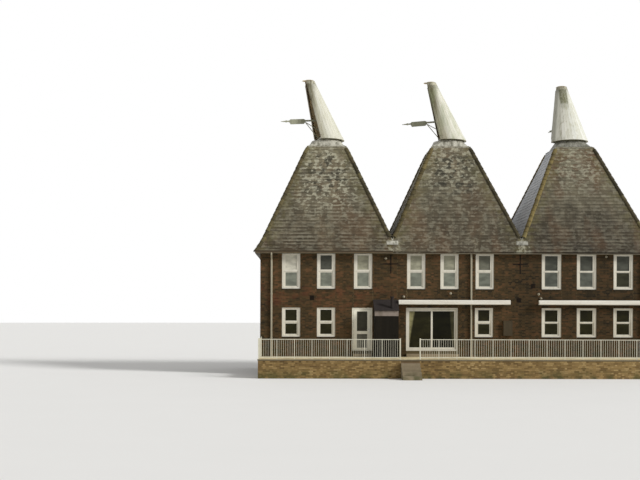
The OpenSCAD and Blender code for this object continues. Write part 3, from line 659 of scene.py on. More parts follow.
@dataclass(frozen=True)
class Paint:
    """Outdoor paint: brush marks along the grain, run stains and a dusty bloom."""

    name: str
    coat: Colour
    stain: Colour
    stained: float = 0.3
    rough: float = 0.45
    brush: Noise = Noise(1.0, 3.0, (22.0, 22.0, 1.5))
    runs: Noise = Noise(1.0, 5.0, (5.0, 5.0, 0.55), (0.42, 0.75))
    run_share: float = 0.7
    spots: Noise = Noise(8.0, 5.0)
    spot_edge: Span = (0.5, 0.8)
    spot_share: float = 0.5
    own_share: float = 0.3
    brush_light: Span = (0.93, 1.07)
    rough_spread: Span = (-0.12, 0.18)
    deep: float = 0.0006
    shine: float = 0.5

    def clean(self, s: Shader) -> Sock | Colour:
        """The paint's colour where nothing stains it."""
        return self.coat

    def make(self) -> Material:
        """Builds the material.

        Returns:
            The material.
        """
        s = Shader(self.name)
        spots, brush = s.noise(self.spots), s.noise(self.brush)
        share = s.noise(self.runs) * self.run_share + spots.rise(*self.spot_edge) * self.spot_share
        share += s.attribute("tone") * self.own_share
        base = s.mix(self.clean(s), self.stain, share * self.stained)
        low, high = self.rough_spread
        return s.finish(
            Base_Color=s.lighten(base, brush.to(*self.brush_light)),
            Specular_IOR_Level=self.shine,
            Roughness=spots.to(self.rough + low, self.rough + high),
            Normal=s.bump(brush, self.deep),
        )


@dataclass(frozen=True)
class GutterPaint(Paint):
    """Brown paint, its dark coat partly painted shade under the slates' edge, with a painted highlight
    along its foot.
    """

    # The paler foot is a painted highlight along the gutter's lower edge.
    foot: Colour = rgb(128, 112, 88)
    painted_highlight_z: Span = (EAVES_Z, 6.05)

    def clean(self, s: Shader) -> Sock | Colour:
        """The paint's colour where nothing stains it, with the painted highlight along its foot."""
        return s.mix(self.coat, self.foot, s.axis("Z").rise(*self.painted_highlight_z))


@dataclass(frozen=True)
class CowlPaint:
    """White cowl boards, streaked, with brown and green growth beside the mouths."""

    name: str
    coat: Colour = rgb(206, 204, 190)
    clean: Colour = rgb(214, 214, 205)
    # Painted light for the right cowl's shaded left side.
    lit: Colour = rgb(248, 246, 234)
    lit_side: Span = (0.1, -0.45)
    lean: Span = (0.294, 0.069)
    taper: float = (COWL_FOOT_R - COWL_TOP_R) / COWL_HIGH
    middle_x: Span = (3.2, 3.0)
    east_x: Span = (2.9, 3.1)
    worn: Colour = rgb(180, 176, 152)
    own_share: float = 0.4
    streaks: Noise = Noise(1.0, 5.0, (9.0, 9.0, 0.6))
    streak_edge: Span = (0.46, 0.74)
    streak_share: float = 0.5
    tan: Colour = rgb(148, 138, 106)
    tan_side: Span = (0.12, -0.4)
    tan_share: float = 0.62
    brown: Colour = rgb(98, 90, 62)
    brown_side: Span = (0.26, -0.1)
    brown_top: float = 14.9
    brown_rake: float = 0.2
    brown_z: Span = (12.9, 14.3)
    brown_fine: Span = (0.34, 0.6)
    brown_share: Span = (0.5, 1.0)
    fine: Noise = Noise(1.0, 4.0, (18.0, 18.0, 1.1))
    green: Stain = Stain(rgb(134, 142, 104), Noise(1.3, 4.0, (1.6, 1.6, 0.5), (0.4, 0.64)))
    green_share: Span = (0.1, 0.44)
    algae: Colour = rgb(86, 86, 40)
    algae_x: Window = ((-0.48, -0.4), (0.0, -0.08))
    algae_z: tuple[Span, Span] = ((13.8, 14.15), (14.2, 14.4))
    algae_thick: Pair = (0.34, 0.42)
    algae_fine: Span = (0.3, 0.6)
    algae_share: Span = (0.8, 1.2)
    rim: Span = (0.12, 0.05)
    rim_share: float = 0.5
    head_z: Span = (14.7, 15.3)
    head_share: Span = (0.1, 0.9)
    splash: Stain = Stain(OLIVE_GREY, Noise(5.0, 4.0, edge=(0.4, 0.7)))
    splash_z: Span = (12.5, 12.15)
    splash_share: Span = (0.25, 0.05)
    grain: Noise = Noise(1.0, 4.0, (40.0, 40.0, 3.0))
    grain_light: Span = (0.94, 1.06)
    deep: float = 0.0012
    rough: Span = (0.5, 0.75)

    def make(self) -> Material:
        """Builds the material.

        Returns:
            The material.
        """
        s = Shader(self.name)
        x, z = s.axis("X"), s.axis("Z")
        east = x.rise(*self.east_x)
        local = x.in_bay(PITCH)
        side = local + (z - COWL_Z) * east.to(*self.lean)
        streak, fine = s.noise(self.streaks), s.noise(self.fine)
        # Painted light: on the right cowl the colour brightens towards its left, the side the sun
        # leaves in shade.
        coat = s.mix(self.coat, s.mix(self.clean, self.lit, side.rise(*self.lit_side)), east)
        worn = streak.rise(*self.streak_edge) * self.streak_share
        base = s.mix(coat, self.worn, s.attribute("tone") * self.own_share + worn)
        base = self._growth(s, base, side, z, 1.0 - east, fine)
        middle = x.far().rise(*self.middle_x)
        base = s.stain(base, self.green, middle.to(*self.green_share))
        thick = sum(z.rise(*span) * share for span, share in zip(self.algae_z, self.algae_thick))
        grown = fine.rise(*self.algae_fine).to(*self.algae_share)
        base = s.mix(base, self.algae, local.within(*self.algae_x) * east * thick * grown)
        # A darker band down the left edge of the right cowl.
        rim = side + COWL_FOOT_R - (z - COWL_Z) * self.taper
        base = s.mix(base, OLIVE_GREY, rim.rise(*self.rim) * east * self.rim_share)
        # Streaky soot round the top.
        base = s.mix(base, OLIVE_GREY, z.rise(*self.head_z) * streak.to(*self.head_share))
        foot = z.rise(*self.splash_z) * east.to(*self.splash_share)
        base = s.stain(base, self.splash, foot)
        grain = s.noise(self.grain)
        return s.finish(
            Base_Color=s.lighten(base, grain.to(*self.grain_light)),
            Roughness=grain.to(*self.rough),
            Normal=s.bump(grain, self.deep),
        )

    def _growth(self, s: Shader, base: Sock, side: Sock, z: Sock, west: Sock, fine: Sock) -> Sock:
        """Lays tan on the left of the first two cowls, partly weathering and partly painted shade away
        from the sun, and brown growth.

        Args:
            s: The material in work.
            base: The boards' colour.
            side: How far the place is to the right of the leaning middle line.
            z: The height.
            west: 1 on the left and middle cowls.
            fine: Fine noise along the boards.

        Returns:
            The colour with both laid over it.
        """
        left = side + (self.brown_top - z) * self.brown_rake
        grown = fine.rise(*self.brown_fine).to(*self.brown_share)
        # Partly painted shade: tan on the left, away from the sun.
        base = s.mix(base, self.tan, side.rise(*self.tan_side) * west * self.tan_share)
        where = left.rise(*self.brown_side) * west * z.rise(*self.brown_z)
        return s.mix(base, self.brown, where * grown)


@dataclass(frozen=True)
class Timber:
    """Bare or stained wood with its grain along one axis."""

    name: str
    pale: Colour
    dark: Colour
    fibre: Noise = Noise(1.0, 6.0, (26.0, 26.0, 1.6))
    rough: float = 0.75
    painted: Colour | None = None
    paint_z: Span = (12.3, 12.28)
    paint_share: Span = (0.65, 1.15)
    fibre_edge: Span = (0.3, 0.7)
    weather: Noise = Noise(1.6, 4.0)
    weather_light: Span = (0.66, 1.16)
    own_share: float = 0.3
    rough_spread: Span = (-0.12, 0.13)
    deep: float = 0.0018
    shine: float = 0.3

    def make(self) -> Material:
        """Builds the material.

        Returns:
            The material.
        """
        s = Shader(self.name)
        fibre, weather = s.noise(self.fibre), s.noise(self.weather)
        base = s.mix(self.dark, self.pale, fibre.rise(*self.fibre_edge))
        light = weather.to(*self.weather_light) + s.attribute("tone") * self.own_share
        base = s.lighten(base, light)
        if self.painted:
            share = s.axis("Z").rise(*self.paint_z) * weather.to(*self.paint_share)
            base = s.mix(base, self.painted, share)
        low, high = self.rough_spread
        return s.finish(
            Base_Color=base,
            Specular_IOR_Level=self.shine,
            Roughness=fibre.to(self.rough + low, self.rough + high),
            Normal=s.bump(fibre, self.deep),
        )


@dataclass(frozen=True)
class Metal:
    """Wrought iron or bright fittings, with rust or fingermarks."""

    name: str
    face: Colour
    rust: Colour
    rusty: float
    metallic: float
    rough: Span
    shine: float = 0.5
    patches: Noise = Noise(18.0, 6.0)
    rust_edge: Span = (0.45, 0.7)
    deep: float = 0.0008

    def make(self) -> Material:
        """Builds the material.

        Returns:
            The material.
        """
        s = Shader(self.name)
        patch = s.noise(self.patches)
        return s.finish(
            Base_Color=s.mix(self.face, self.rust, patch.rise(*self.rust_edge) * self.rusty),
            Metallic=self.metallic,
            Specular_IOR_Level=self.shine,
            Roughness=patch.to(*self.rough),
            Normal=s.bump(patch, self.deep),
        )


@dataclass(frozen=True)
class Glazing:
    """Window glass before dim rooms: pale sky in some upper panes, dark below."""

    name: str
    room: Colour = rgb(38, 36, 18)
    deep_room: Colour = rgb(22, 21, 9)
    deep_x: Span = (-1.25, 0.1)
    sky: tuple[Colour, Colour] = (rgb(117, 120, 108), rgb(150, 148, 128))
    dim: tuple[Colour, Colour] = (rgb(86, 88, 80), rgb(75, 76, 68))
    dim_low: tuple[tuple[Span, float], ...] = (((0.75, 2.2), 0.4),)
    dim_up: tuple[tuple[Span, float], ...] = (
        ((-7.05, -5.95), 1.0), ((0.75, 2.2), 0.75), ((-1.0, 0.3), 0.2))
    right_x: Span = (3.2, 3.3)
    last_x: Span = (7.5, 7.6)
    last_share: float = 0.8
    storey: Span = (3.8, 4.0)
    meeting: Span = (5.11, 5.21)
    blind: Colour = rgb(196, 192, 176)
    blind_x: Span = (-9.6, -7.82)
    blind_z: Span = (5.1, 5.16)
    blind_y: Span = (0.0, -0.1)
    drape: Colour = rgb(158, 152, 110)
    folds: Noise = Noise(1.0, 2.0, (14.0, 1.0, 0.5), (0.3, 0.7))
    fold_light: Span = (0.5, 1.0)
    drape_top: float = 3.3
    drape_foot: Span = (1.4, 1.5)
    left_rake: float = 0.16
    left_drape: tuple[Span, Span] = ((-2.06, -2.16), (-2.62, -2.55))
    right_rake: float = 0.08
    right_drape: tuple[Span, Span] = ((-0.4, -0.32), (0.1, 0.05))
    right_share: float = 0.2
    hall: Colour = rgb(124, 123, 112)
    hall_x: Span = (-5.25, -4.25)
    hall_z: Span = (2.2, 1.9)
    hall_share: Span = (0.2, 0.75)
    soft: float = 0.04
    haze: Noise = Noise(1.0, 4.0, (2.6, 1.0, 5.0))
    haze_edge: Span = (0.3, 0.7)
    haze_light: Span = (0.78, 1.22)
    waves: Noise = Noise(1.2, 1.0)
    wave_deep: float = 0.004
    wave_share: float = 0.35
    rough: Span = (0.06, 0.14)
    shine: float = 0.08

    def make(self) -> Material:
        """Builds the material.

        Returns:
            The material.
        """
        s = Shader(self.name)
        x, y, z = s.axis("X"), s.axis("Y"), s.axis("Z")
        base = s.mix(self._lower(s, x, z), self._upper(s, x, y, z), z.rise(*self.storey))
        haze = s.noise(self.haze)
        return s.finish(
            Base_Color=s.lighten(base, haze.rise(*self.haze_edge).to(*self.haze_light)),
            Roughness=haze.to(*self.rough),
            Specular_IOR_Level=self.shine,
            Normal=s.bump(s.noise(self.waves), self.wave_deep, self.wave_share),
        )

    def _between(self, x: Sock, low: float, high: float) -> Sock:
        """1 from low to high, 0 outside."""
        return x.within((low - self.soft, low + self.soft), (high + self.soft, high - self.soft))

    def _upper(self, s: Shader, x: Sock, y: Sock, z: Sock) -> Sock:
        """Tints the upper storey's panes, the lower sashes apart from the upper ones.

        Args:
            s: The material in work.
            x: The place along the row.
            y: The place across it.
            z: The height.

        Returns:
            The panes' colour.
        """
        sashes = []
        for sky, dim, windows in zip(self.sky, self.dim, (self.dim_low, self.dim_up)):
            share = sum((self._between(x, *span) * part for span, part in windows),
                        x.rise(*self.right_x))
            sashes.append(s.mix(sky, dim, share))
        low, up = sashes
        low = s.mix(low, self.room, x.rise(*self.last_x) * self.last_share)
        base = s.mix(low, up, z.rise(*self.meeting))
        shade = self._between(x, *self.blind_x) * z.rise(*self.blind_z) * y.rise(*self.blind_y)
        return s.mix(base, self.blind, shade)

    def _lower(self, s: Shader, x: Sock, z: Sock) -> Sock:
        """Tints the ground floor's panes, with the drapes of the patio doors.

        Args:
            s: The material in work.
            x: The place along the row.
            z: The height.

        Returns:
            The panes' colour.
        """
        room = s.mix(self.room, self.deep_room, self._between(x, *self.deep_x))
        folds = s.noise(self.folds).to(*self.fold_light)
        drop = self.drape_top - z
        left = (x + drop * self.left_rake).rise(*self.left_drape[0]) * x.rise(*self.left_drape[1])
        right = (x - drop * self.right_rake).rise(*self.right_drape[0])
        right *= x.rise(*self.right_drape[1]) * self.right_share
        share = (left + right) * z.rise(*self.drape_foot)
        base = s.mix(room, s.lighten(self.drape, folds), share)
        lit = z.rise(*self.hall_z).to(*self.hall_share)
        return s.mix(base, self.hall, self._between(x, *self.hall_x) * lit)


FINISHES = {finish.name: finish for finish in (
    Masonry("terrace_joints", (rgb(98, 82, 60), rgb(132, 112, 84)), laid=False, moss_top=0.5),
    Masonry("terrace_brick",
            (rgb(88, 70, 42), rgb(120, 97, 59), rgb(146, 121, 76), rgb(172, 148, 102)),
            moss_top=0.6),
    Masonry("paving", (rgb(184, 170, 132), rgb(214, 198, 158), rgb(234, 220, 182)),
            grain=Noise(30.0, 6.0), deep=0.002),
    Masonry("paving_joints", (rgb(96, 88, 70), rgb(126, 116, 94)), laid=False),
    Masonry("steps", (rgb(118, 106, 86), rgb(156, 142, 116)), laid=False, moss_top=0.7),
    Masonry("brick",
            (rgb(39, 32, 20), rgb(56, 45, 27), rgb(70, 55, 33), rgb(83, 61, 38),
             rgb(102, 72, 47)),
            warm=Stain(rgb(122, 64, 44), Noise(1.7, 3.0, (1.0, 1.0, 1.8), (0.46, 0.66)), 0.28),
            moss=MOSS._replace(colour=rgb(54, 60, 28)), moss_top=2.3, darkening=0.22,
            drift_share=0.8),
    Masonry("mortar", (rgb(78, 66, 44), rgb(106, 92, 64)), laid=False, moss_top=2.2,
            darkening=0.2),
    Masonry("slab", (rgb(128, 124, 114), rgb(152, 148, 136)), laid=False),
    Slate("slates",
          (rgb(46, 40, 29), rgb(64, 56, 42), rgb(80, 71, 55), rgb(102, 92, 72)),
          (rgb(82, 77, 62), rgb(105, 99, 81), rgb(124, 118, 97), rgb(145, 139, 115))),
    Masonry("hip_clay",
            (rgb(48, 44, 31), rgb(62, 57, 40), rgb(76, 68, 49), rgb(104, 98, 66)),
            cloud=Noise(1.2, 5.0), grain=Noise(26.0, 6.0), patina=rgb(132, 116, 70)),
    # The sills' near-black is partly painted shadow under the window frames.
    Masonry("sill_tile", (rgb(38, 32, 22), rgb(56, 48, 34)), laid=False),
    Lead("lead"),
    Lead("cap_lead", rgb(168, 164, 142), rgb(84, 78, 56), (0.0, 0.0), moss=None),
    Paint("eaves_paint", rgb(104, 95, 75), rgb(66, 58, 43), 0.6, 0.6),
    GutterPaint("gutter_brown", rgb(56, 45, 29), rgb(44, 36, 24), 0.4, 0.55, shine=0.25),
    Paint("pipe_paint", rgb(160, 152, 130), rgb(112, 104, 82), 0.5, 0.45),
    Paint("white_frames", rgb(214, 209, 194), rgb(168, 160, 138), 0.4, 0.35),
    # The glazed door is whiter than the window frames, as painted light against the store's shadow.
    Paint("door_paint", rgb(236, 232, 214), rgb(186, 180, 156), 0.35, 0.35),
    Paint("railing_paint", rgb(208, 204, 184), rgb(146, 138, 112), 0.5, 0.4),
    Paint("awning_case", rgb(222, 218, 206), rgb(172, 164, 144), 0.45, 0.35,
          Noise(1.0, 3.0, (1.5, 20.0, 20.0)), Noise(1.0, 5.0, (0.5, 4.0, 4.0), (0.42, 0.75))),
    Paint("cupboard", rgb(66, 56, 38), rgb(46, 40, 28), 0.5, 0.45, shine=0.2),
    # The store's boards are near black, partly their dark paint and partly painted shade under the
    # store's roof.
    Paint("store_paint", rgb(24, 21, 15), rgb(40, 35, 26), 0.5, 0.75, shine=0.12),
    Paint("store_trim", rgb(136, 124, 114), rgb(88, 80, 64), 0.7, 0.65, shine=0.3),
    Masonry("store_felt", (rgb(32, 28, 26), rgb(54, 48, 46)), laid=False,
            grain=Noise(120.0, 6.0), deep=0.0015),
    Paint("vane_paint", rgb(146, 146, 124), rgb(84, 82, 64), 0.7, 0.6, shine=0.3),
    # A dark skirt under each cowl's foot, painted shade in the gap over the curb.
    Paint("skirt_hide", rgb(84, 82, 64), rgb(54, 52, 38), 0.5, 0.8, shine=0.2),
    CowlPaint("cowl_paint"),
    Timber("cowl_timber", rgb(98, 84, 60), rgb(60, 49, 34), painted=rgb(186, 184, 170)),
    Timber("cowl_inside", rgb(216, 198, 162), rgb(160, 142, 110)),
    Timber("oak", rgb(122, 104, 80), rgb(76, 62, 46), Noise(1.0, 6.0, (1.6, 26.0, 26.0))),
    Timber("floorboards", rgb(150, 120, 84), rgb(110, 84, 56),
           Noise(1.0, 6.0, (1.2, 22.0, 22.0)), 0.55),
    Metal("iron", rgb(26, 21, 15), rgb(58, 39, 23), 0.6, 0.1, (0.65, 1.0), 0.15),
    Metal("handle", rgb(196, 194, 188), rgb(150, 146, 136), 0.4, 0.9, (0.2, 0.55)),
    Glazing("glazing"),
)}


class Palette:
    """Makes each finish once, when it is first asked for."""

    def __init__(self) -> None:
        """Starts with no material made."""
        self._made: dict[str, Material] = {}

    def get(self, name: str) -> Material:
        """Hands out a finish.

        Args:
            name: The finish's name.

        Returns:
            Its material.
        """
        if name not in self._made:
            self._made[name] = FINISHES[name].make()
        return self._made[name]


# Copies laid out along courses and slopes


class Spot(NamedTuple):
    """Where one copy is laid, how large and turned it is, and its grade."""

    at: Vector
    size: Vector
    turn: Euler
    grade: float = 0.0


@dataclass(frozen=True)
class Laying:
    """How laid copies differ from their set-out places, each along its own axes.

    Attributes:
        joint: What the joints take off each copy's size.
        shift: How far a copy may wander.
        tilt: How far a copy may turn, in radians.
        seed: The seed of both.
    """

    joint: Triple = (0.0, 0.0, 0.0)
    shift: Triple = (0.0, 0.0, 0.0)
    tilt: Triple = (0.0, 0.0, 0.0)
    seed: int = 1


class Layer:
    """Lays copies of a shape on guide points with Geometry Nodes."""

    INPUTS = {
        "Guide": "NodeSocketGeometry", "Shape": "NodeSocketObject", "Joint": "NodeSocketVector",
        "Shift": "NodeSocketVector", "Tilt": "NodeSocketVector", "Seed": "NodeSocketInt",
        "Finish": "NodeSocketMaterial",
    }

    def __init__(self) -> None:
        """Builds the tree and the plain block that most copies are made of."""
        self.tree = bpy.data.node_groups.new("laid copies", "GeometryNodeTree")
        sockets = self.tree.interface
        self._inputs = {
            name: sockets.new_socket(name, in_out="INPUT", socket_type=kind).identifier
            for name, kind in self.INPUTS.items()
        }
        sockets.new_socket("Geometry", in_out="OUTPUT", socket_type="NodeSocketGeometry")
        self._build()
        self.block = solid_object("block", block_mesh())

    def _add(self, kind: str, settings: dict[str, object],
             *wires: tuple[int | str, object]) -> bpy.types.Node:
        """Adds one node to the tree.

        Args:
            kind: The node's type.
            settings: Its properties.
            *wires: The number or name of each input, with its value or the socket that feeds it.

        Returns:
            The node.
        """
        made = self.tree.nodes.new(kind)
        for key, value in settings.items():
            setattr(made, key, value)
        for key, value in wires:
            if isinstance(value, bpy.types.NodeSocket):
                self.tree.links.new(value, made.inputs[key])
            else:
                made.inputs[key].default_value = value
        return made

    def _build(self) -> None:
        """Builds the tree: place, shift, tilt, tone, realize and dress."""
        add, vectors = self._add, {"data_type": "FLOAT_VECTOR"}
        start = add("NodeGroupInput", {}).outputs
        shape = add("GeometryNodeObjectInfo", {}, ("Object", start["Shape"]))
        size = add("GeometryNodeInputNamedAttribute", vectors, ("Name", "size"))
        turn = add("GeometryNodeInputNamedAttribute", vectors, ("Name", "turn"))
        net = add("ShaderNodeVectorMath", {"operation": "SUBTRACT"},
                  (0, size.outputs["Attribute"]), (1, start["Joint"]))
        spin = add("FunctionNodeEulerToRotation", {}, (0, turn.outputs["Attribute"]))
        laid = add("GeometryNodeInstanceOnPoints", {}, ("Points", start["Guide"]),
                   ("Instance", shape.outputs["Geometry"]), ("Rotation", spin.outputs[0]),
                   ("Scale", net.outputs[0]))
        geometry = laid.outputs["Instances"]
        for name, mover, slot, step in (
            ("Shift", "GeometryNodeTranslateInstances", "Translation", 1),
            ("Tilt", "GeometryNodeRotateInstances", "Rotation", 2),
        ):
            back = add("ShaderNodeVectorMath", {"operation": "SCALE"}, (0, start[name]),
                       ("Scale", -1.0))
            seed = add("ShaderNodeMath", {"operation": "ADD"}, (0, start["Seed"]), (1, step))
            wander = add("FunctionNodeRandomValue", vectors, ("Min", back.outputs[0]),
                         ("Max", start[name]), ("Seed", seed.outputs[0]))
            moved = add(mover, {}, ("Instances", geometry), (slot, wander.outputs["Value"]),
                        ("Local Space", True))
            geometry = moved.outputs["Instances"]
        tone = add("FunctionNodeRandomValue", {"data_type": "FLOAT"}, ("Seed", start["Seed"]))
        value = next(s for s in tone.outputs if s.enabled)
        toned = add("GeometryNodeStoreNamedAttribute", {"data_type": "FLOAT", "domain": "INSTANCE"},
                    ("Geometry", geometry), ("Name", "tone"), ("Value", value))
        real = add("GeometryNodeRealizeInstances", {}, ("Geometry", toned.outputs["Geometry"]))
        dressed = add("GeometryNodeSetMaterial", {}, ("Geometry", real.outputs["Geometry"]),
                      ("Material", start["Finish"]))
        add("NodeGroupOutput", {}, (0, dressed.outputs["Geometry"]))

    def lay(self, name: str, spots: Sequence[Spot], finish: Material, laying: Laying,
            shape: Piece | None) -> Piece:
        """Lays one copy on each spot and joins them in one plain mesh.

        Args:
            name: The piece's name.
            spots: Where the copies go.
            finish: Their material.
            laying: How they wander.
            shape: What is copied, or None for a block of one metre.

        Returns:
            The piece, at the origin.
        """
        holder = solid_object(name + "_guide", self._guide(name, spots))
        modifier = holder.modifiers.new("laid", "NODES")
        modifier.node_group = self.tree
        values = {
            "Shape": shape or self.block, "Joint": laying.joint, "Shift": laying.shift,
            "Tilt": laying.tilt, "Seed": laying.seed, "Finish": finish,
        }
        for key, value in values.items():
            modifier[self._inputs[key]] = value
        graph = bpy.context.evaluated_depsgraph_get()
        mesh = bpy.data.meshes.new_from_object(
            holder.evaluated_get(graph), preserve_all_data_layers=True, depsgraph=graph
        )
        mesh.name = name
        for key in ("size", "turn"):
            mesh.attributes.remove(mesh.attributes[key])
        holder.modifiers.remove(modifier)
        bpy.data.objects.remove(holder)
        return solid_object(name, mesh)

    @staticmethod
    def _guide(name: str, spots: Sequence[Spot]) -> Mesh:
        """Makes the guide points, with the size, turn and grade of each.

        Args:
            name: The piece's name.
            spots: Where the copies go.

        Returns:
            The points, as a mesh without faces.
        """
        guide = bpy.data.meshes.new(name + "_guide")
        guide.from_pydata([spot.at for spot in spots], [], [])
        for key in ("size", "turn"):
            flat = [c for spot in spots for c in getattr(spot, key)]
            guide.attributes.new(key, "FLOAT_VECTOR", "POINT").data.foreach_set("vector", flat)
        grades = [spot.grade for spot in spots]
        guide.attributes.new("grade", "FLOAT", "POINT").data.foreach_set("value", grades)
        return guide

    def clear(self) -> None:
        """Removes the plain block."""
        bpy.data.objects.remove(self.block)


def solid_object(name: str, mesh: Mesh) -> Piece:
    """Puts a mesh in the scene as an object at the origin.

    Args:
        name: The object's name.
        mesh: The mesh.

    Returns:
        The object.
    """
    made = bpy.data.objects.new(name, mesh)
    bpy.context.scene.collection.objects.link(made)
    return made


BLOCK_QUADS = ((0, 2, 3, 1), (4, 5, 7, 6), (0, 1, 5, 4), (2, 6, 7, 3), (0, 4, 6, 2), (1, 3, 7, 5))


def block_mesh() -> Mesh:
    """Makes a cube of one metre about the origin, which knows how far along Y each corner is.

    Returns:
        The mesh, with its faces outwards.
    """
    ends = (-0.5, 0.5)
    points = [(x, y, z) for z in ends for y in ends for x in ends]
    mesh = bpy.data.meshes.new("block")
    mesh.from_pydata(points, [], BLOCK_QUADS)
    along = mesh.attributes.new("along", "FLOAT", "POINT")
    along.data.foreach_set("value", [point[1] - ends[0] for point in points])
    return mesh


def sweep(work: Work, rows: Iterable[Iterable[Sequence[float]]]) -> None:
    """Adds a bar, closed at both ends.

    Args:
        work: The shape in work.
        rows: The points along each of the bar's long edges, in order round the bar.
    """
    edges = [[work.verts.new(point) for point in row] for row in rows]
    for near, far in zip(edges, edges[1:] + edges[:1]):
        for k in range(len(near) - 1):
            work.faces.new([near[k], near[k + 1], far[k + 1], far[k]])
    for end in (0, -1):
        work.faces.new([edge[end] for edge in edges])


def ended(work: Work, name: str) -> Mesh:
    """Ends the work on a closed shape.

    Args:
        work: The shape in work, which is freed.
        name: The mesh's name.

    Returns:
        The mesh, with its faces outwards.
    """
    bmesh.ops.recalc_face_normals(work, faces=work.faces)
    mesh = bpy.data.meshes.new(name)
    work.to_mesh(mesh)
    work.free()
    return mesh


def facing(across: Vector, along: Vector) -> Euler:
    """The turn that lays X across, Y along and Z outwards."""
    out = across.cross(along).normalized()
    return Matrix((across, along, out)).transposed().to_euler()


# The house


class Body(Enum):
    """The bodies that the pieces made here ride on."""

    ROOT = "root"
    STORE_DOOR = "store_door"
    COWL_LEFT = "cowl_left"
    COWL_MIDDLE = "cowl_middle"
    COWL_RIGHT = "cowl_right"


class Opening(NamedTuple):
    """A hole in one face of a wall: from low to high along it, from foot to head.

    A window's opening also has the height of its meeting rail.
    """

    low: float
    high: float
    foot: float
    head: float
    rail: float = 0.12


class Plane(NamedTuple):
    """The outside of a wall, to measure blocks from.

    Attributes:
        start: The point that places along it are measured from.
        run: The way along it, with the outside on the right hand.
    """

    start: Vector
    run: Vector

    def spot(self, low: float, high: float, foot: float, head: float, out: float,
             deep: float) -> Spot:
        """A block on the wall.

        Args:
            low: Its start along the wall.
            high: Its end along the wall.
            foot: Its lower edge.
            head: Its upper edge.
            out: How far it stands out of the wall.
            deep: Its whole depth.

        Returns:
            The spot that makes it.
        """
        at = self.start + self.run * ((low + high) / 2) + UP * ((foot + head) / 2)
        at += self.run.cross(UP) * (out - deep / 2)
        return Spot(at, Vector((high - low, head - foot, deep)), facing(self.run, UP))


@dataclass(frozen=True)
class Face:
    """One upright face of a wall.

    Attributes:
        plane: The plane it lies in.
        low: Where it starts along that plane.
        high: Where it ends.
        foot: Its lower edge.
        top: Its upper edge.
        holes: What is cut out of it.
    """

    plane: Plane
    low: float
    high: float
    foot: float
    top: float
    holes: Sequence[Opening] = ()


@dataclass(frozen=True)
class House:
    """Places and levels of the built part, as its source has them."""

    kiln_x: ByRoof = (-PITCH, 0.0, PITCH)
    kiln_y: float = 1.93
    party_x: float = PITCH / 2
    half_row: float = 9.81
    front_y: float = -1.4
    back_y: float = 5.26
    wall_top: float = 6.025
    upper: Span = (4.28, 6.05)
    lower: Span = (1.89, 3.34)
    upper_x: tuple[Triple, ...] = ((-1.8, -0.06, 1.78), (-2.05, -0.385, 1.375), (-1.76, 0.0, 1.84))
    lower_x: tuple[tuple[float, ...], ...] = ((-1.8, -0.06), (1.34,), (-1.76, 0.0, 1.84))
    window_w: ByRoof = (0.91, 0.91, 0.98)
    rails: ByRoof = (0.12, 0.12, 0.07)
    back_x: float = 1.4
    terrace_y: float = -4.4
    terrace_half: float = 9.78
    terrace_top: float = 0.9
    coping_foot: float = 0.84
    door: Span = (-5.245, -4.235)
    patio: Span = (-2.55, 0.03)
    store: Span = (-4.17, -3.0)
    store_top: float = 3.745
    steps: Span = (-3.09, -2.21)
    cowl_z: float = COWL_Z
    cowl_turns: ByRoof = (190.5, 174.0, 103.4)

    @property
    def front(self) -> Plane:
        """The outside of the front wall."""
        return Plane(Vector((0, self.front_y, 0)), Vector((1, 0, 0)))

    def walls(self) -> list[tuple[Plane, list[Opening]]]:
        """Lists the walls with their windows.

        Returns:
            The front, the back, the right and the left wall.
        """
        back = Plane(Vector((0, self.back_y, 0)), Vector((-1, 0, 0)))
        places = [-x + side * self.back_x for x in self.kiln_x for side in (-1, 1)]
        made = [(self.front, self._front_windows()), (back, self._plain_windows(places))]
        for side in (1, -1):
            end = Plane(Vector((side * self.half_row, 0, 0)), Vector((0, side, 0)))
            made.append((end, self._plain_windows([side * self.kiln_y])))
        return made

    def _front_windows(self) -> list[Opening]:
        """Lays out the windows of the front.

        Returns:
            The openings, along +X.
        """
        made = []
        for rows, storey in ((self.upper_x, self.upper), (self.lower_x, self.lower)):
            for middle, places, wide, rail in zip(self.kiln_x, rows, self.window_w, self.rails):
                made += [Opening(middle + x - wide / 2, middle + x + wide / 2, *storey, rail)
                         for x in places]
        return made

    def _plain_windows(self, places: Iterable[float]) -> list[Opening]:
        """Lays out windows on both storeys of the back or an end.

        Args:
            places: The middles of the windows along the wall.

        Returns:
            The openings.
        """
        half = self.window_w[0] / 2
        return [Opening(x - half, x + half, *storey, self.rails[0])
                for x in places for storey in (self.upper, self.lower)]


@dataclass(frozen=True)
class Site:
    """What every assembly is built with.

    Attributes:
        house: The places.
        palette: The finishes.
        layer: What lays the copies.
    """

    house: House
    palette: Palette
    layer: Layer

    def place(self, piece: Piece, slot: str, body: Body) -> Piece:
        """Hangs a piece on the body that it rides."""
        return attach(piece, body.value)

    def lay(self, name: str, spots: Sequence[Spot], finish: str, slot: str,
            laying: Laying = Laying(), body: Body = Body.ROOT,
            shape: Piece | None = None) -> Piece:
        """Lays one piece of many copies, of a shape or else of plain blocks, and places it."""
        piece = self.layer.lay(name, spots, self.palette.get(finish), laying, shape)
        return self.place(piece, slot, body)


class Assembly(Protocol):
    """A class that builds some of the house's pieces."""

    def build(self, site: Site) -> list[Piece]:
        """Builds the pieces on that site and hands them back."""


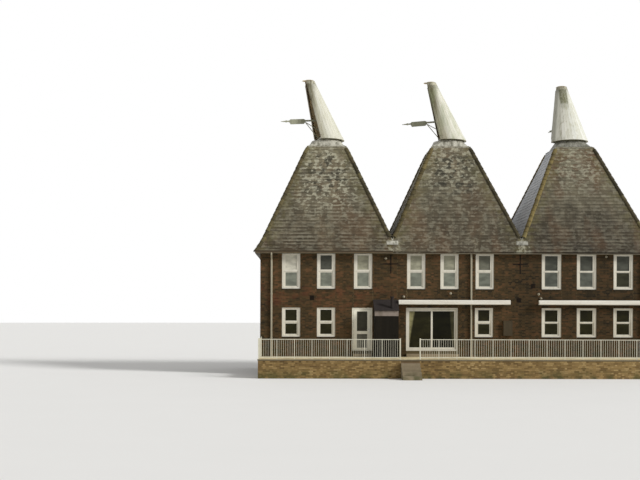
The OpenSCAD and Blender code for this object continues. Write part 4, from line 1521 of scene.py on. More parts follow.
@dataclass
class Brickwork:
    """Bricks in a bond of long and short faces, laid round every opening."""

    face_w: Pair = (0.225, 0.1125)
    course: float = 0.075
    proud: float = 0.006
    deep: float = 0.016
    least: float = 0.03
    through: float = 0.1
    laying: Laying = Laying((0.01, 0.01, 0.0), (0.001, 0.001, 0.0015), (0.004, 0.004, 0.003), 11)

    def cells(self, face: Face) -> list[Spot]:
        """Lays out the bricks of one face.

        Args:
            face: The face.

        Returns:
            A spot for each brick, with its joints.
        """
        spots: list[Spot] = []
        cuts = {e for hole in face.holes for e in (hole.low, hole.high) if face.low < e < face.high}
        edges = sorted({face.low, face.high, *cuts})
        for row in range(math.ceil((face.top - face.foot) / self.course)):
            foot = face.foot + row * self.course
            head = min(face.top, foot + self.course)
            offset = (row % 2) * sum(self.face_w) / 2
            for low, high in zip(edges, edges[1:]):
                open_foot, open_head = self._free(face, (low + high) / 2, foot, head)
                if open_head - open_foot < self.least:
                    continue
                spots += [face.plane.spot(a, b, open_foot, open_head, self.proud, self.deep)
                          for a, b in self._bond(low, high, offset)]
        return spots

    def _free(self, face: Face, middle: float, foot: float, head: float) -> Span:
        """Finds what the holes leave of a course at one place.

        Args:
            face: The face.
            middle: The place along the face.
            foot: The course's lower edge.
            head: Its upper edge.

        Returns:
            The lower and upper edge of what is left, which are one where nothing is.
        """
        for hole in face.holes:
            if hole.low < middle < hole.high and hole.foot < head and hole.head > foot:
                if hole.foot > foot:
                    head = min(head, hole.foot)
                elif hole.head < head:
                    foot = max(foot, hole.head)
                else:
                    return foot, foot
        return foot, head

    def _bond(self, low: float, high: float, offset: float) -> Iterable[Span]:
        """Cuts one length of a course into bricks.

        Args:
            low: Its start along the face.
            high: Its end.
            offset: How far the bond is shifted in this course.

        Returns:
            The start and the end of each brick.
        """
        period = sum(self.face_w)
        start = math.floor((low - offset) / period) * period + offset
        while start < high:
            for width in self.face_w:
                a, b = max(low, start), min(high, start + width)
                if b - a > self.least:
                    yield a, b
                start += width

    def build(self, site: Site) -> list[Piece]:
        """Lays the front, the back, both ends and the terrace walls.

        Args:
            site: The house, the finishes and the layer.

        Returns:
            The pieces.
        """
        house, inset = site.house, self.deep - self.proud
        reach = house.half_row + self.proud
        (front, front_holes), (back, back_holes), *ends = house.walls()
        for span, head in ((house.door, house.lower[1]), (house.patio, house.lower[1]),
                           (house.store, house.store_top)):
            front_holes.append(Opening(*span, house.terrace_top, head))
        end_faces = []
        for side, (plane, holes) in zip((1, -1), ends):
            low, high = sorted((side * (house.front_y + inset), side * (house.back_y - inset)))
            end_faces.append(Face(plane, low, high, 0.0, house.wall_top, holes))
        return [
            site.lay(name, [spot for face in faces for spot in self.cells(face)], finish, finish,
                     self.laying)
            for name, faces, finish in (
                ("brick_front",
                 [Face(front, -reach, reach, house.terrace_top, house.wall_top, front_holes)],
                 "brick"),
                ("brick_back", [Face(back, -reach, reach, 0.0, house.wall_top, back_holes)],
                 "brick"),
                ("brick_ends", end_faces, "brick"),
                ("terrace_bricks", self._terrace(house, inset), "terrace_brick"),
            )
        ]

    def _terrace(self, house: House, inset: float) -> list[Face]:
        """Lists the terrace's walls.

        Args:
            house: The places.
            inset: How far the side walls' bricks start behind the front wall's face.

        Returns:
            The front wall, cut by the garden steps, and both side walls.
        """
        reach = house.terrace_half + self.proud
        steps = Opening(*house.steps, -self.through, house.coping_foot + self.through)
        front = Plane(Vector((0, house.terrace_y, 0)), Vector((1, 0, 0)))
        faces = [Face(front, -reach, reach, 0.0, house.coping_foot, [steps])]
        for side in (1, -1):
            plane = Plane(Vector((side * house.terrace_half, 0, 0)), Vector((0, side, 0)))
            low, high = sorted((side * (house.terrace_y + inset), side * house.front_y))
            faces.append(Face(plane, low, high, 0.0, house.coping_foot))
        return faces


class Side(Enum):
    """The four slopes of a roof, as quarter turns of the front one."""

    FRONT = 0
    RIGHT = 1
    BACK = 2
    LEFT = 3


@dataclass(frozen=True)
class Slope:
    """The line up the middle of one slope, from the eaves to the curb."""

    knees: tuple[Pair, ...] = ((3.59, EAVES_Z), (3.255, 6.65), (0.99, 11.77))

    def spans(self, stretch: float = 1.0) -> list[float]:
        """The lengths of the line's parts, with its level measures stretched."""
        return [math.hypot((r1 - r0) * stretch, z1 - z0)
                for (r0, z0), (r1, z1) in zip(self.knees, self.knees[1:])]

    def at(self, run: float, stretch: float = 1.0) -> Pair:
        """Finds a place on the line.

        Args:
            run: The distance from the eaves.
            stretch: 1 up the slope, or the square root of 2 up a hip.

        Returns:
            The half width of the roof there, and the height.
        """
        for (r0, z0), (r1, z1), span in zip(self.knees, self.knees[1:], self.spans(stretch)):
            if run <= span or (r1, z1) == self.knees[-1]:
                share = run / span
                return r0 + (r1 - r0) * share, z0 + (z1 - z0) * share
            run -= span
        return self.knees[-1]


@dataclass
class SlateRoof:
    """The slates, hip tiles and curb apron of one kiln.

    The patina on its left hips, golden, is given for each of the three kilns.
    """

    name: str
    index: int
    house: House
    slope: Slope = Slope()
    gauge: float = 0.2
    width: float = 0.26
    length: float = 0.24
    under_length: float = 0.16
    thick: float = 0.008
    tail_lift: float = 0.015
    head_lift: float = 0.005
    least_width: float = 0.04
    least_length: float = 0.0667
    valley_gap: float = 0.08
    tile_gauge: float = 0.33
    tile_sink: float = 0.066
    golden: ByRoof = (0.16, 0.4, 0.8)
    cover: Slope = Slope(((1.04, 11.71), (0.9, 11.812)))
    cover_thick: float = 0.006

    @property
    def centre(self) -> Vector:
        """The kiln's middle on the ground."""
        return Vector((self.house.kiln_x[self.index], self.house.kiln_y, 0))

    @property
    def neighbours(self) -> tuple[bool, bool]:
        """Whether a roof stands on its left and on its right."""
        return self.index > 0, self.index < len(self.house.kiln_x) - 1

    def slab(self, side: Side, run: Span, low: float, high: float, lifts: Pair, thick: float,
             grade: float = 0.0, slope: Slope | None = None) -> Spot:
        """A thin slab on one slope.

        Args:
            side: The slope's side of the roof.
            run: How far up the slope its tail and head are.
            low: Its start along the slope's foot.
            high: Its end along the slope's foot.
            lifts: How far its middle stands off the slope at the tail and the head.
            thick: Its thickness.
            grade: What its finish reads.
            slope: The slope it lies on, or None for the slates' own.

        Returns:
            The spot that makes it.
        """
        line = slope or self.slope
        (r0, z0), (r1, z1) = line.at(run[0]), line.at(run[1])
        tail, head = Vector((0, -r0, z0)), Vector((0, -r1, z1))
        across = Vector((1, 0, 0))
        out = across.cross((head - tail).normalized())
        tail += out * lifts[0]
        head += out * lifts[1]
        turn = Matrix.Rotation(side.value * math.pi / 2, 3, "Z")
        middle = (tail + head) / 2 + across * ((low + high) / 2)
        size = Vector((high - low, (head - tail).length, thick))
        return Spot(self.centre + turn @ middle, size,
                    facing(turn @ across, turn @ (head - tail).normalized()), grade)

    def slates(self) -> list[Spot]:
        """Lays out the courses of all four slopes, from the one under the eaves course up.

        Returns:
            A spot for each slate.
        """
        whole = sum(self.slope.spans())
        spots = []
        for side in Side:
            # Grade 1 marks the right roof's left slope for the slates' painted sky reflection.
            grade = 1.0 if side is Side.LEFT and not self.neighbours[1] else 0.0
            for course in range(-1, int(whole / self.gauge) + 1):
                under = course < 0
                tail = max(0.0, course * self.gauge)
                head = min(whole, tail + (self.under_length if under else self.length))
                low, high = self._course(side, self.slope.at(min(whole, tail + self.gauge / 2))[0])
                if head - tail < self.least_length:
                    continue
                drop = self.thick if under else 0.0
                lifts = (self.tail_lift - drop, self.head_lift - drop / 2)
                start = math.floor(low / self.width) * self.width - self.width * (course % 2) / 2
                while start < high:
                    a, b = max(low, start), min(high, start + self.width)
                    if b - a > self.least_width:
                        spots.append(self.slab(side, (tail, head), a, b, lifts, self.thick, grade))
                    start += self.width
        return spots

    def _course(self, side: Side, half: float) -> Span:
        """Finds how far one course runs before it meets the next roof.

        Args:
            side: The course's side of the roof.
            half: Half the roof's width at the course.

        Returns:
            The course's start and end, which are one where the next roof hides it.
        """
        left, right = self.neighbours
        party = self.house.party_x
        if half > party - self.valley_gap and (
                (side is Side.LEFT and left) or (side is Side.RIGHT and right)):
            return 0.0, 0.0
        meets_low, meets_high = {
            Side.FRONT: (left, right), Side.BACK: (right, left)
        }.get(side, (False, False))
        return -min(half, party) if meets_low else -half, min(half, party) if meets_high else half

    def hips(self) -> list[Spot]:
        """Lays out the half-round tiles up the four hips.

        Returns:
            A spot for each tile.
        """
        stretch = math.sqrt(2.0)
        whole = sum(self.slope.spans(stretch))
        spots = []
        for side_x, neighbour in zip((-1, 1), self.neighbours):
            grade = self.golden[self.index] if side_x < 0 else 0.0
            for side_y in (-1, 1):
                level = Vector((side_x, side_y, 0))
                run = 0.0
                while run < whole - self.tile_gauge / 2:
                    r0, z0 = self.slope.at(run, stretch)
                    r1, z1 = self.slope.at(min(whole, run + self.tile_gauge), stretch)
                    run += self.tile_gauge
                    if neighbour and r0 > self.house.party_x:
                        continue
                    foot = level * r0 + UP * z0
                    along = (level * r1 + UP * z1 - foot).normalized()
                    out = (level - along * level.dot(along)).normalized()
                    spots.append(Spot(self.centre + foot - out * self.tile_sink,
                                      Vector((1, 1, 1)), facing(along.cross(out), along), grade))
        return spots

    def aprons(self) -> list[Spot]:
        """Lays out the lead that covers the top course round the foot of the curb.

        Returns:
            A spot for each sheet.
        """
        whole = sum(self.cover.spans())
        half = self.cover.at(whole / 2)[0]
        thick = self.cover_thick
        return [self.slab(side, (0.0, whole), low, high, (thick, thick), thick, slope=self.cover)
                for side in Side for low, high in ((-half, 0.0), (0.0, half))]


@dataclass(frozen=True)
class HipTile:
    """A half-round hip tile, from its tail at the origin up along Y, hollow side down."""

    radius: float = 0.114
    flare: float = 0.016
    length: float = 0.37
    thick: float = 0.014
    steps: int = 8

    def mesh(self) -> Mesh:
        """Builds the tile.

        Returns:
            The closed mesh.
        """
        work = bmesh.new()
        tail, head = (0.0, self.flare), (self.length, 0.0)
        sweep(work, [self._edge(*end, thick) for end, thick in (
            (tail, 0.0), (tail, self.thick), (head, self.thick), (head, 0.0))])
        return ended(work, "hip_tile")

    def _edge(self, y: float, flare: float, thick: float) -> list[Triple]:
        """Sets out one curved edge.

        Args:
            y: Its place along the tile.
            flare: How much wider the tile is there than at its head.
            thick: How far the edge is inside the tile's outer face.

        Returns:
            The points along it.
        """
        r = self.radius + flare - thick
        turns = [math.pi * k / self.steps for k in range(self.steps + 1)]
        return [(-r * math.cos(turn), y, r * math.sin(turn) + flare / 2) for turn in turns]


@dataclass
class Roofs:
    """The covering of all three roofs."""

    names: tuple[str, ...] = ("left", "middle", "right")
    tile: HipTile = HipTile()
    slate_laying: Laying = Laying((0.004, 0.0, 0.0), (0.0015, 0.003, 0.001), (0.006, 0.004, 0.006), 31)
    tile_laying: Laying = Laying(shift=(0.003, 0.004, 0.002), tilt=(0.008, 0.006, 0.012), seed=41)
    apron_laying: Laying = Laying(tilt=(0.0, 0.002, 0.0), seed=43)

    def build(self, site: Site) -> list[Piece]:
        """Slates each roof and covers its hips and curb.

        Args:
            site: The house, the finishes and the layer.

        Returns:
            The pieces.
        """
        roofs = [SlateRoof(name, k, site.house) for k, name in enumerate(self.names)]
        made = []
        for roof in roofs:
            laying = replace(self.slate_laying, seed=self.slate_laying.seed + roof.index)
            made.append(site.lay("slates_" + roof.name, roof.slates(), "slates", "slates", laying))
        shape = solid_object("hip_tile", self.tile.mesh())
        made.append(site.lay("hip_tiles", [spot for roof in roofs for spot in roof.hips()],
                             "hip_clay", "slates", self.tile_laying, shape=shape))
        bpy.data.objects.remove(shape)
        made.append(site.lay("curb_aprons", [spot for roof in roofs for spot in roof.aprons()],
                             "lead", "lead", self.apron_laying))
        return made


@dataclass(frozen=True)
class Band:
    """One course of boards round a cowl.

    Attributes:
        name: What its piece is called after the cowl.
        low: Its foot, over the cowl's pin.
        high: Its head.
        out: How far it stands off the hood.
        gap: The gap between its boards.
        finish: Its finish.
        slot: The slot of the built part that the finish stands for.
    """

    name: str
    low: float
    high: float
    out: float
    gap: float
    finish: str = "cowl_paint"
    slot: str = "cowl_paint"


@dataclass
class CowlCoat:
    """The boards, foot band, lead cap and skirt of one cowl, about its pin; the dark skirt is painted
    shade under its foot.

    The tone of its boards steps on from board to board and from cowl to cowl, and wraps at 1.
    """

    body: Body
    index: int
    lean: float = 0.93
    mouth: Span = (0.44, 1.13)
    count: int = 32
    boards: Band = Band("boards", 0.2, 2.95, 0.005, 0.005)
    foot_band: Band = Band("foot_band", 0.002, 0.2, 0.014, 0.0015)
    cap: Band = Band("cap", 2.95, COWL_HIGH, 0.009, 0.001, "cap_lead", "lead")
    tone_by_board: float = 4.326
    tone_by_cowl: float = 1.854
    edge_out: float = 0.036
    edge_w: float = 0.1
    edge_steps: int = 12
    sunk: float = 0.004
    skirt: tuple[Pair, ...] = ((0.84, 0.004), (0.796, -0.03), (0.804, -0.045), (0.85, 0.0))

    def _radius(self, z: float) -> float:
        """The hood's radius at a height."""
        return COWL_FOOT_R + (COWL_TOP_R - COWL_FOOT_R) * z / COWL_HIGH

    def _corner(self, turn: float, z: float, out: float) -> Vector:
        """A point on the leaning hood, out metres off it."""
        r = self._radius(z) + out
        return Vector((self.lean * z / COWL_HIGH + r * math.cos(turn), r * math.sin(turn), z))

    def _shell(self, band: Band) -> Work:
        """Sets boards round the hood, each numbered for its tone, and cuts them at the mouth.

        Args:
            band: The course of boards.

        Returns:
            The closed shape, about the cowl's pin.
        """
        work = bmesh.new()
        tone = work.faces.layers.float.new("tone")
        step = math.tau / self.count
        for k in range(self.count):
            corners = []
            for z in (band.low, band.high):
                trim = band.gap / 2 / self._radius(z)
                for away in (band.out, -self.sunk):
                    for turn in ((k + 0.5) * step + trim, (k + 1.5) * step - trim):
                        corners.append(work.verts.new(self._corner(turn, z, away)))
            for quad in BLOCK_QUADS:
                face = work.faces.new([corners[c] for c in quad[::-1]])
                face[tone] = (k * self.tone_by_board + self.index * self.tone_by_cowl) % 1.0
        rake = Vector((self.mouth[1] - self.mouth[0], 0.0, COWL_HIGH))
        cut = bmesh.ops.bisect_plane(
            work, geom=work.verts[:] + work.edges[:] + work.faces[:],
            plane_co=(self.mouth[0], 0.0, 0.0), plane_no=rake.cross(Vector((0, 1, 0))) * -1,
            clear_outer=True,
        )
        edges = [e for e in cut["geom_cut"] if isinstance(e, bmesh.types.BMEdge)]
        bmesh.ops.holes_fill(work, edges=edges, sides=0)
        return work

    def _mouth_boards(self) -> Work:
        """Covers the cut ends along both edges of the mouth with narrow boards.

        Returns:
            Both closed boards, about the cowl's pin.
        """
        work = bmesh.new()
        low, high = self.boards.low, self.boards.high
        rows = []
        for k in range(self.edge_steps + 1):
            z = low + (high - low) * k / self.edge_steps
            share, r = z / COWL_HIGH, self._radius(z)
            mouth = self.mouth[0] + (self.mouth[1] - self.mouth[0]) * share
            turn = math.acos((mouth - self.lean * share) / r)
            rows.append((z, (turn, turn + self.edge_w / r)))
        for side in (-1, 1):
            sweep(work, [[self._corner(side * turns[end], z, away) for z, turns in rows]
                         for end, away in ((0, -self.sunk), (0, self.edge_out),
                                           (1, self.edge_out), (1, -self.sunk))])
        return work

    def _skirt(self) -> Work:
        """Hangs a dark skirt from the foot rail, all round but for the mouth, as painted shade in the
        gap over the curb.

        Returns:
            The closed shape, about the cowl's pin.
        """
        work = bmesh.new()
        start = math.acos(self.mouth[0] / COWL_FOOT_R)
        step = (math.tau - 2 * start) / self.count
        turns = [start + k * step for k in range(self.count + 1)]
        sweep(work, [[(r * math.cos(turn), r * math.sin(turn), z) for turn in turns]
                     for r, z in self.skirt])
        return work

    def build(self, site: Site) -> list[Piece]:
        """Builds the coat at the cowl's heading.

        Args:
            site: The house, the finishes and the layer.

        Returns:
            The pieces.
        """
        house = site.house
        pin = Matrix.Translation((house.kiln_x[self.index], house.kiln_y, house.cowl_z))
        stand = pin @ Matrix.Rotation(math.radians(house.cowl_turns[self.index]), 4, "Z")
        coats = [("mouth_boards", self._mouth_boards(), "cowl_paint", "cowl_paint"),
                 ("skirt", self._skirt(), "skirt_hide", "cowl_timber")]
        coats += [(band.name, self._shell(band), band.finish, band.slot)
                  for band in (self.boards, self.foot_band, self.cap)]
        made = []
        for name, work, finish, slot in coats:
            mesh = ended(work, name)
            mesh.transform(stand)
            mesh.materials.append(site.palette.get(finish))
            piece = solid_object(f"{self.body.value}_{name}", mesh)
            made.append(site.place(piece, slot, self.body))
        return made


# Windows, store, terrace and fittings


@dataclass
class WindowTrim:
    """Dark tile sills, their darkness partly painted shadow under the frames, and glazing beads of the
    sash windows.
    """

    frame_w: float = 0.09
    sash_w: float = 0.07
    set_back: float = 0.03
    sash_set: float = 0.025
    bead: float = 0.014
    bead_lap: float = 0.004
    bead_out: float = 0.004
    bead_deep: float = 0.02
    sill_h: float = 0.06
    sill_out: float = 0.022
    sill_in: float = 0.01
    sill_gap: float = 0.002
    laying: Laying = Laying(seed=51)

    def _sill(self, wall: Plane, hole: Opening) -> Spot:
        """Sets out the sill of one window."""
        return wall.spot(hole.low, hole.high, hole.foot - self.sill_h, hole.foot - self.sill_gap,
                         self.sill_out, self.sill_out + self.sill_in)

    def _beads(self, wall: Plane, hole: Opening) -> list[Spot]:
        """Sets out the beads round both panes of one window.

        Args:
            wall: The wall's outside.
            hole: The window's opening.

        Returns:
            A spot for each bead, of the lower sash and of the upper one.
        """
        high, frame = hole.head - hole.foot, self.frame_w
        panes = ((frame + self.sash_w / 2, (high - hole.rail) / 2),
                 ((high + hole.rail) / 2, high - frame))
        side = frame + self.sash_w
        a, b = hole.low + side, hole.high - side
        beads = []
        for (foot, head), sunk in zip(panes, (2 * self.sash_set, self.sash_set)):
            out = self.bead_out - self.set_back - sunk
            c, d = hole.foot + foot, hole.foot + head
            beads += [wall.spot(*place, out, self.bead_deep) for place in (
                (a - self.bead_lap, a + self.bead, c, d),
                (b - self.bead, b + self.bead_lap, c, d),
                (a + self.bead, b - self.bead, c - self.bead_lap, c + self.bead),
                (a + self.bead, b - self.bead, d - self.bead, d + self.bead_lap),
            )]
        return beads

    def build(self, site: Site) -> list[Piece]:
        """Makes the sills and beads of all windows.

        Args:
            site: The house, the finishes and the layer.

        Returns:
            The pieces.
        """
        places = [(wall, hole) for wall, holes in site.house.walls() for hole in holes]
        sills = [self._sill(*place) for place in places]
        beads = [bead for place in places for bead in self._beads(*place)]
        return [site.lay("window_sills", sills, "sill_tile", "brick", self.laying),
                site.lay("glazing_beads", beads, "white_frames", "white_frames", self.laying)]


@dataclass
class StoreBoards:
    """Upright boards on the store's sides and door."""

    board: float = 0.098
    out: float = 0.005
    deep: float = 0.009
    foot: float = 0.905
    front_y: float = -2.2
    side_tops: Pair = (3.22, 3.68)
    under_roof: float = 0.02
    door_x: Span = (-4.092, -3.078)
    door_z: Span = (0.913, 2.92)
    door_inset: float = 0.004
    laying: Laying = Laying((0.004, 0.0, 0.0), seed=61)

    def _cut(self, low: float, high: float) -> list[Span]:
        """Divides a length into boards.

        Args:
            low: Its start.
            high: Its end.

        Returns:
            The start and the end of each board.
        """
        count = round((high - low) / self.board)
        wide = (high - low) / count
        return [(low + k * wide, low + (k + 1) * wide) for k in range(count)]

    def build(self, site: Site) -> list[Piece]:
        """Boards the sides and the door.

        Args:
            site: The house, the finishes and the layer.

        Returns:
            The pieces.
        """
        back_y, (low_top, high_top) = site.house.front_y, self.side_tops
        sides = []
        for side, x in zip((-1, 1), site.house.store):
            wall = Plane(Vector((x, 0, 0)), Vector((0, side, 0)))
            for a, b in self._cut(self.front_y, back_y):
                share = (a - self.front_y) / (back_y - self.front_y)
                head = low_top + (high_top - low_top) * share - self.under_roof
                low, high = sorted((side * a, side * b))
                sides.append(wall.spot(low, high, self.foot, head, self.out, self.deep))
        front = Plane(Vector((0, self.front_y, 0)), Vector((1, 0, 0)))
        foot, head = self.door_z[0] + self.door_inset, self.door_z[1] - self.door_inset
        leaf = [front.spot(a, b, foot, head, self.out, self.deep) for a, b in self._cut(*self.door_x)]
        return [site.lay(name, spots, "store_paint", "store_paint", self.laying, body)
                for name, spots, body in (("store_side_boards", sides, Body.ROOT),
                                          ("store_door_boards", leaf, Body.STORE_DOOR))]


@dataclass
class TerraceStones:
    """Paving slabs, and the coping along the terrace's edge."""

    slab: Pair = (0.6, 0.45)
    coping_w: float = 0.3
    coping_l: float = 0.9
    overhang: float = 0.03
    out: float = 0.004
    deep: float = 0.012
    least: float = 0.05
    laying: Laying = Laying((0.008, 0.008, 0.0), (0.0, 0.0, 0.0012), seed=71)

    def _stone(self, house: House, x: Span, y: Span) -> Spot:
        """Sets out one flat stone.

        Args:
            house: The places.
            x: Its start and end along the row.
            y: Its front and back.

        Returns:
            The spot that makes it.
        """
        z = house.terrace_top + self.out - self.deep / 2
        return Spot(Vector((sum(x) / 2, sum(y) / 2, z)),
                    Vector((x[1] - x[0], y[1] - y[0], self.deep)), Euler())

    def build(self, site: Site) -> list[Piece]:
        """Lays the coping along the front, then the paving behind it, row by row.

        Args:
            site: The house, the finishes and the layer.

        Returns:
            The piece.
        """
        house = site.house
        edge = house.terrace_half + self.overhang
        front = house.terrace_y - self.overhang
        count = round(2 * edge / self.coping_l)
        cuts = [-edge + 2 * edge * k / count for k in range(count + 1)]
        y, row = front + self.coping_w, 0
        spots = [self._stone(house, span, (front, y)) for span in zip(cuts, cuts[1:])]
        inner = edge - self.coping_w
        while y < house.front_y - self.least:
            end = min(y + self.slab[1], house.front_y)
            spots += [self._stone(house, span, (y, end)) for span in ((-edge, -inner), (inner, edge))]
            x = -inner - (row % 2) * self.slab[0] / 2
            while x < inner:
                a, b = max(-inner, x), min(inner, x + self.slab[0])
                if b - a > self.least:
                    spots.append(self._stone(house, (a, b), (y, end)))
                x += self.slab[0]
            y, row = end, row + 1
        return [site.lay("paving_slabs", spots, "paving", "paving", self.laying)]


@dataclass
class Fittings:
    """Wall lamps and air vents."""

    lamps: tuple[Pair, ...] = (
        (-3.57, 5.8), (7.46, 5.92), (-0.333, 4.06), (-2.67, 3.89), (4.19, 3.82), (4.07, 4.03))
    lamp_off: float = 0.004
    lamp_steps: int = 16
    lamp_profile: tuple[Pair, ...] = (
        (0.0, 0.0), (0.062, 0.0), (0.062, 0.016), (0.05, 0.022), (0.052, 0.05), (0.04, 0.084),
        (0.02, 0.1), (0.0, 0.104))
    lamp_laying: Laying = Laying(seed=81)
    vents: tuple[Pair, ...] = ((3.08, 3.73), (3.79, 4.44), (-7.24, 3.83))
    plate_half: float = 0.11
    plate_out: float = 0.009
    plate_deep: float = 0.012
    bars: int = 6
    bar_half: float = 0.1
    bar_foot: float = -0.09
    bar_h: float = 0.018
    bar_out: float = 0.02
    bar_deep: float = 0.014
    vent_laying: Laying = Laying(seed=83)

    def _lamp(self) -> Mesh:
        """Makes a small bulkhead lamp on a round plate, facing along -Y.

        Returns:
            The closed mesh.
        """
        work = bmesh.new()
        turns = [math.tau * k / self.lamp_steps for k in range(self.lamp_steps)]
        rings = [[work.verts.new((r * math.cos(turn), -y, r * math.sin(turn)))
                  for turn in (turns if r else turns[:1])] for r, y in self.lamp_profile]
        for low, high in zip(rings, rings[1:]):
            for k in range(self.lamp_steps):
                quad = (low[k % len(low)], low[(k + 1) % len(low)],
                        high[(k + 1) % len(high)], high[k % len(high)])
                work.faces.new(list(dict.fromkeys(quad)))
        return ended(work, "lamp")

    def _vent(self, wall: Plane, x: float, z: float) -> list[Spot]:
        """Sets out one air vent.

        Args:
            wall: The wall's outside.
            x: Its middle along the wall.
            z: The height of its middle.

        Returns:
            The plate and its bars.
        """
        half, bar = self.plate_half, self.bar_half
        plate = wall.spot(x - half, x + half, z - half, z + half, self.plate_out, self.plate_deep)
        feet = [z + self.bar_foot + 2 * self.bar_h * k for k in range(self.bars)]
        return [plate] + [wall.spot(x - bar, x + bar, foot, foot + self.bar_h, self.bar_out,
                                    self.bar_deep) for foot in feet]

    def build(self, site: Site) -> list[Piece]:
        """Puts up the fittings.

        Args:
            site: The house, the finishes and the layer.

        Returns:
            The pieces.
        """
        front = site.house.front
        y = site.house.front_y - self.lamp_off
        spots = [Spot(Vector((x, y, z)), Vector((1, 1, 1)), Euler()) for x, z in self.lamps]
        shape = solid_object("lamp", self._lamp())
        lamps = site.lay("wall_lamps", spots, "pipe_paint", "pipe_paint", self.lamp_laying,
                         shape=shape)
        bpy.data.objects.remove(shape)
        bars = [bar for x, z in self.vents for bar in self._vent(front, x, z)]
        return [lamps, site.lay("air_vents", bars, "iron", "iron", self.vent_laying)]


# What the built part's own nodes are dressed in, a cowl's by the last word of their names

NODE_FINISHES = {
    "terrace_joints": ("terrace_base",),
    "paving_joints": ("terrace_paving",),
    "steps": ("steps",),
    "railing_paint": ("railings",),
    "mortar": ("plinth", "front_wall_left", "front_wall_pier", "front_wall_right",
               "front_wall_head", "front_wall_upper", "back_wall", "end_wall_left",
               "end_wall_right", "party_walls"),
    "slab": ("ground_floor",),
    "floorboards": ("upper_floor",),
    "eaves_paint": ("soffit",),
    "slates": ("kiln_roof_left", "kiln_roof_middle", "kiln_roof_right"),
    "lead": ("valley_lead", "roof_curbs"),
    "oak": ("cowl_bearers", "post"),
    "gutter_brown": ("gutter",),
    "pipe_paint": ("downpipes",),
    "white_frames": ("upper_windows", "lower_windows", "patio_door_frame",
                     "patio_sliding_panel"),
    "glazing": ("upper_window_glass", "lower_window_glass", "glazed_door_glass",
                "patio_sliding_glass"),
    "door_paint": ("glazed_door_frame", "glazed_door_leaf"),
    "handle": ("glazed_door_handle",),
    "store_paint": ("store_frame", "store_door"),
    "store_trim": ("store_board",),
    "store_felt": ("store_roof",),
    "awning_case": ("awnings",),
    "iron": ("tie_crosses",),
    "cupboard": ("meter_cupboard",),
    "cowl_inside": ("hood",),
    "cowl_timber": ("frame",),
    "vane_paint": ("vane",),
}


def dress_nodes(nodes: dict[str, Piece], palette: Palette) -> int:
    """Gives every node of the built part its finish.

    Args:
        nodes: The part's nodes by name.
        palette: The finishes.

    Returns:
        How many nodes were dressed.
    """
    finishes = {name: finish for finish, names in NODE_FINISHES.items() for name in names}
    for name, piece in nodes.items():
        finish = finishes.get(name) or finishes[name.rsplit("_", 1)[1]]
        for slot in piece.material_slots:
            slot.material = palette.get(finish)
    return len(nodes)


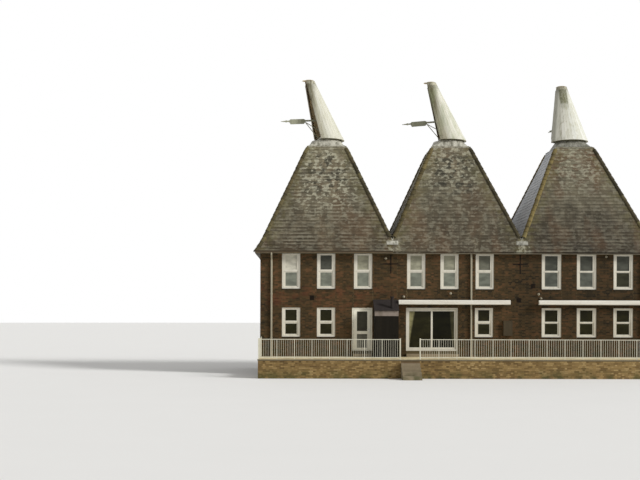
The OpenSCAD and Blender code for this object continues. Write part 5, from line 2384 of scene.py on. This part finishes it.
@dataclass
class Studio:
    """The camera, the light and the pale floor."""

    camera_at: Triple = (-7.606, -51.56, 3.07)
    yaw: float = 0.84
    roll: float = 0.16
    focal_px: float = 1008.0
    centre_px: Pair = (319.4, 313.0)
    image_px: Pair = (640.0, 480.0)
    sensor: float = 36.0
    sight: float = 1000.0
    sun_from: Triple = (0.85, -0.43, 0.52)
    sun_strength: float = 3.0
    sun_angle: float = 14.0
    sky: float = 0.47
    floor_r: float = 260.0
    floor_z: float = -0.002
    floor_steps: int = 64
    floor_tone: Colour = rgb(232, 231, 228)
    floor_noise: Noise = Noise(0.4, 2.0)
    floor_light: Span = (0.99, 1.01)
    floor_rough: float = 0.9

    def build(self) -> None:
        """Builds all of the studio."""
        self._camera()
        self._sun()
        self._sky()
        self._floor()

    def _camera(self) -> None:
        """Stands the camera where the photograph was taken from."""
        wide, high = self.image_px
        data = bpy.data.cameras.new("camera")
        data.sensor_width = self.sensor
        data.lens = self.focal_px / wide * self.sensor
        data.shift_x = (wide / 2 - self.centre_px[0]) / wide
        data.shift_y = (self.centre_px[1] - high / 2) / wide
        data.clip_end = self.sight
        yaw, roll = math.radians(self.yaw), math.radians(self.roll)
        ahead = Vector((math.sin(yaw), math.cos(yaw), 0.0))
        right = Vector((math.cos(yaw), -math.sin(yaw), 0.0)) * math.cos(roll) + UP * math.sin(roll)
        top = right.cross(ahead)
        camera = bpy.data.objects.new("camera", data)
        turn = Matrix((right, top, -ahead)).transposed().to_4x4()
        camera.matrix_world = Matrix.Translation(self.camera_at) @ turn
        bpy.context.scene.collection.objects.link(camera)
        bpy.context.scene.camera = camera

    def _sun(self) -> None:
        """Hangs one broad sun."""
        data = bpy.data.lights.new("sun", "SUN")
        data.energy = self.sun_strength
        data.angle = math.radians(self.sun_angle)
        sun = bpy.data.objects.new("sun", data)
        sun.rotation_euler = Vector(self.sun_from).to_track_quat("Z", "Y").to_euler()
        bpy.context.scene.collection.objects.link(sun)

    def _sky(self) -> None:
        """Fills the sky evenly, and white where the camera, a gloss or glass shows it."""
        world = bpy.data.worlds.new("sky")
        world.use_nodes = True
        bpy.context.scene.world = world
        nodes, links = world.node_tree.nodes, world.node_tree.links
        nodes.clear()
        path = nodes.new("ShaderNodeLightPath")
        seen = path.outputs["Is Camera Ray"]
        for name in ("Is Glossy Ray", "Is Transmission Ray"):
            either = nodes.new("ShaderNodeMath")
            either.operation = "MAXIMUM"
            links.new(seen, either.inputs[0])
            links.new(path.outputs[name], either.inputs[1])
            seen = either.outputs[0]
        level = nodes.new("ShaderNodeMapRange")
        level.inputs["To Min"].default_value = self.sky
        level.inputs["To Max"].default_value = 1.0
        links.new(seen, level.inputs["Value"])
        light = nodes.new("ShaderNodeBackground")
        light.inputs["Color"].default_value = (1.0, 1.0, 1.0, 1.0)
        links.new(level.outputs["Result"], light.inputs["Strength"])
        end = nodes.new("ShaderNodeOutputWorld")
        links.new(light.outputs[0], end.inputs["Surface"])

    def _floor(self) -> None:
        """Lays a wide pale floor under the house."""
        shader = Shader("studio_floor")
        soft = shader.noise(self.floor_noise).to(*self.floor_light)
        material = shader.finish(
            Base_Color=shader.lighten(self.floor_tone, soft), Roughness=self.floor_rough
        )
        turns = [math.tau * k / self.floor_steps for k in range(self.floor_steps)]
        mesh = bpy.data.meshes.new("studio_floor")
        mesh.from_pydata([(self.floor_r * math.cos(turn), self.floor_r * math.sin(turn), self.floor_z)
                          for turn in turns], [], [list(range(self.floor_steps))])
        mesh.materials.append(material)
        solid_object("studio_floor", mesh)


def main() -> None:
    """Builds the looks of the house, one assembly after another."""
    logging.basicConfig(level=logging.INFO, format="%(name)s: %(message)s")
    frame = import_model()
    site = Site(House(), Palette(), Layer())
    Studio().build()
    log.info("dressed %d nodes", dress_nodes(frame["nodes"], site.palette))
    assemblies: list[Assembly] = [
        Brickwork(), Roofs(), WindowTrim(), StoreBoards(), TerraceStones(), Fittings()
    ]
    for index, body in enumerate((Body.COWL_LEFT, Body.COWL_MIDDLE, Body.COWL_RIGHT)):
        assemblies.append(CowlCoat(body, index))
    for assembly in assemblies:
        for piece in assembly.build(site):
            faces = len(piece.data.polygons)
            log.info("%s rides %s with %d faces", piece.name, piece["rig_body"], faces)
    site.layer.clear()
    bpy.context.scene.view_settings.view_transform = "Standard"
    bpy.context.view_layer.update()


if __name__ == "__main__":
    main()
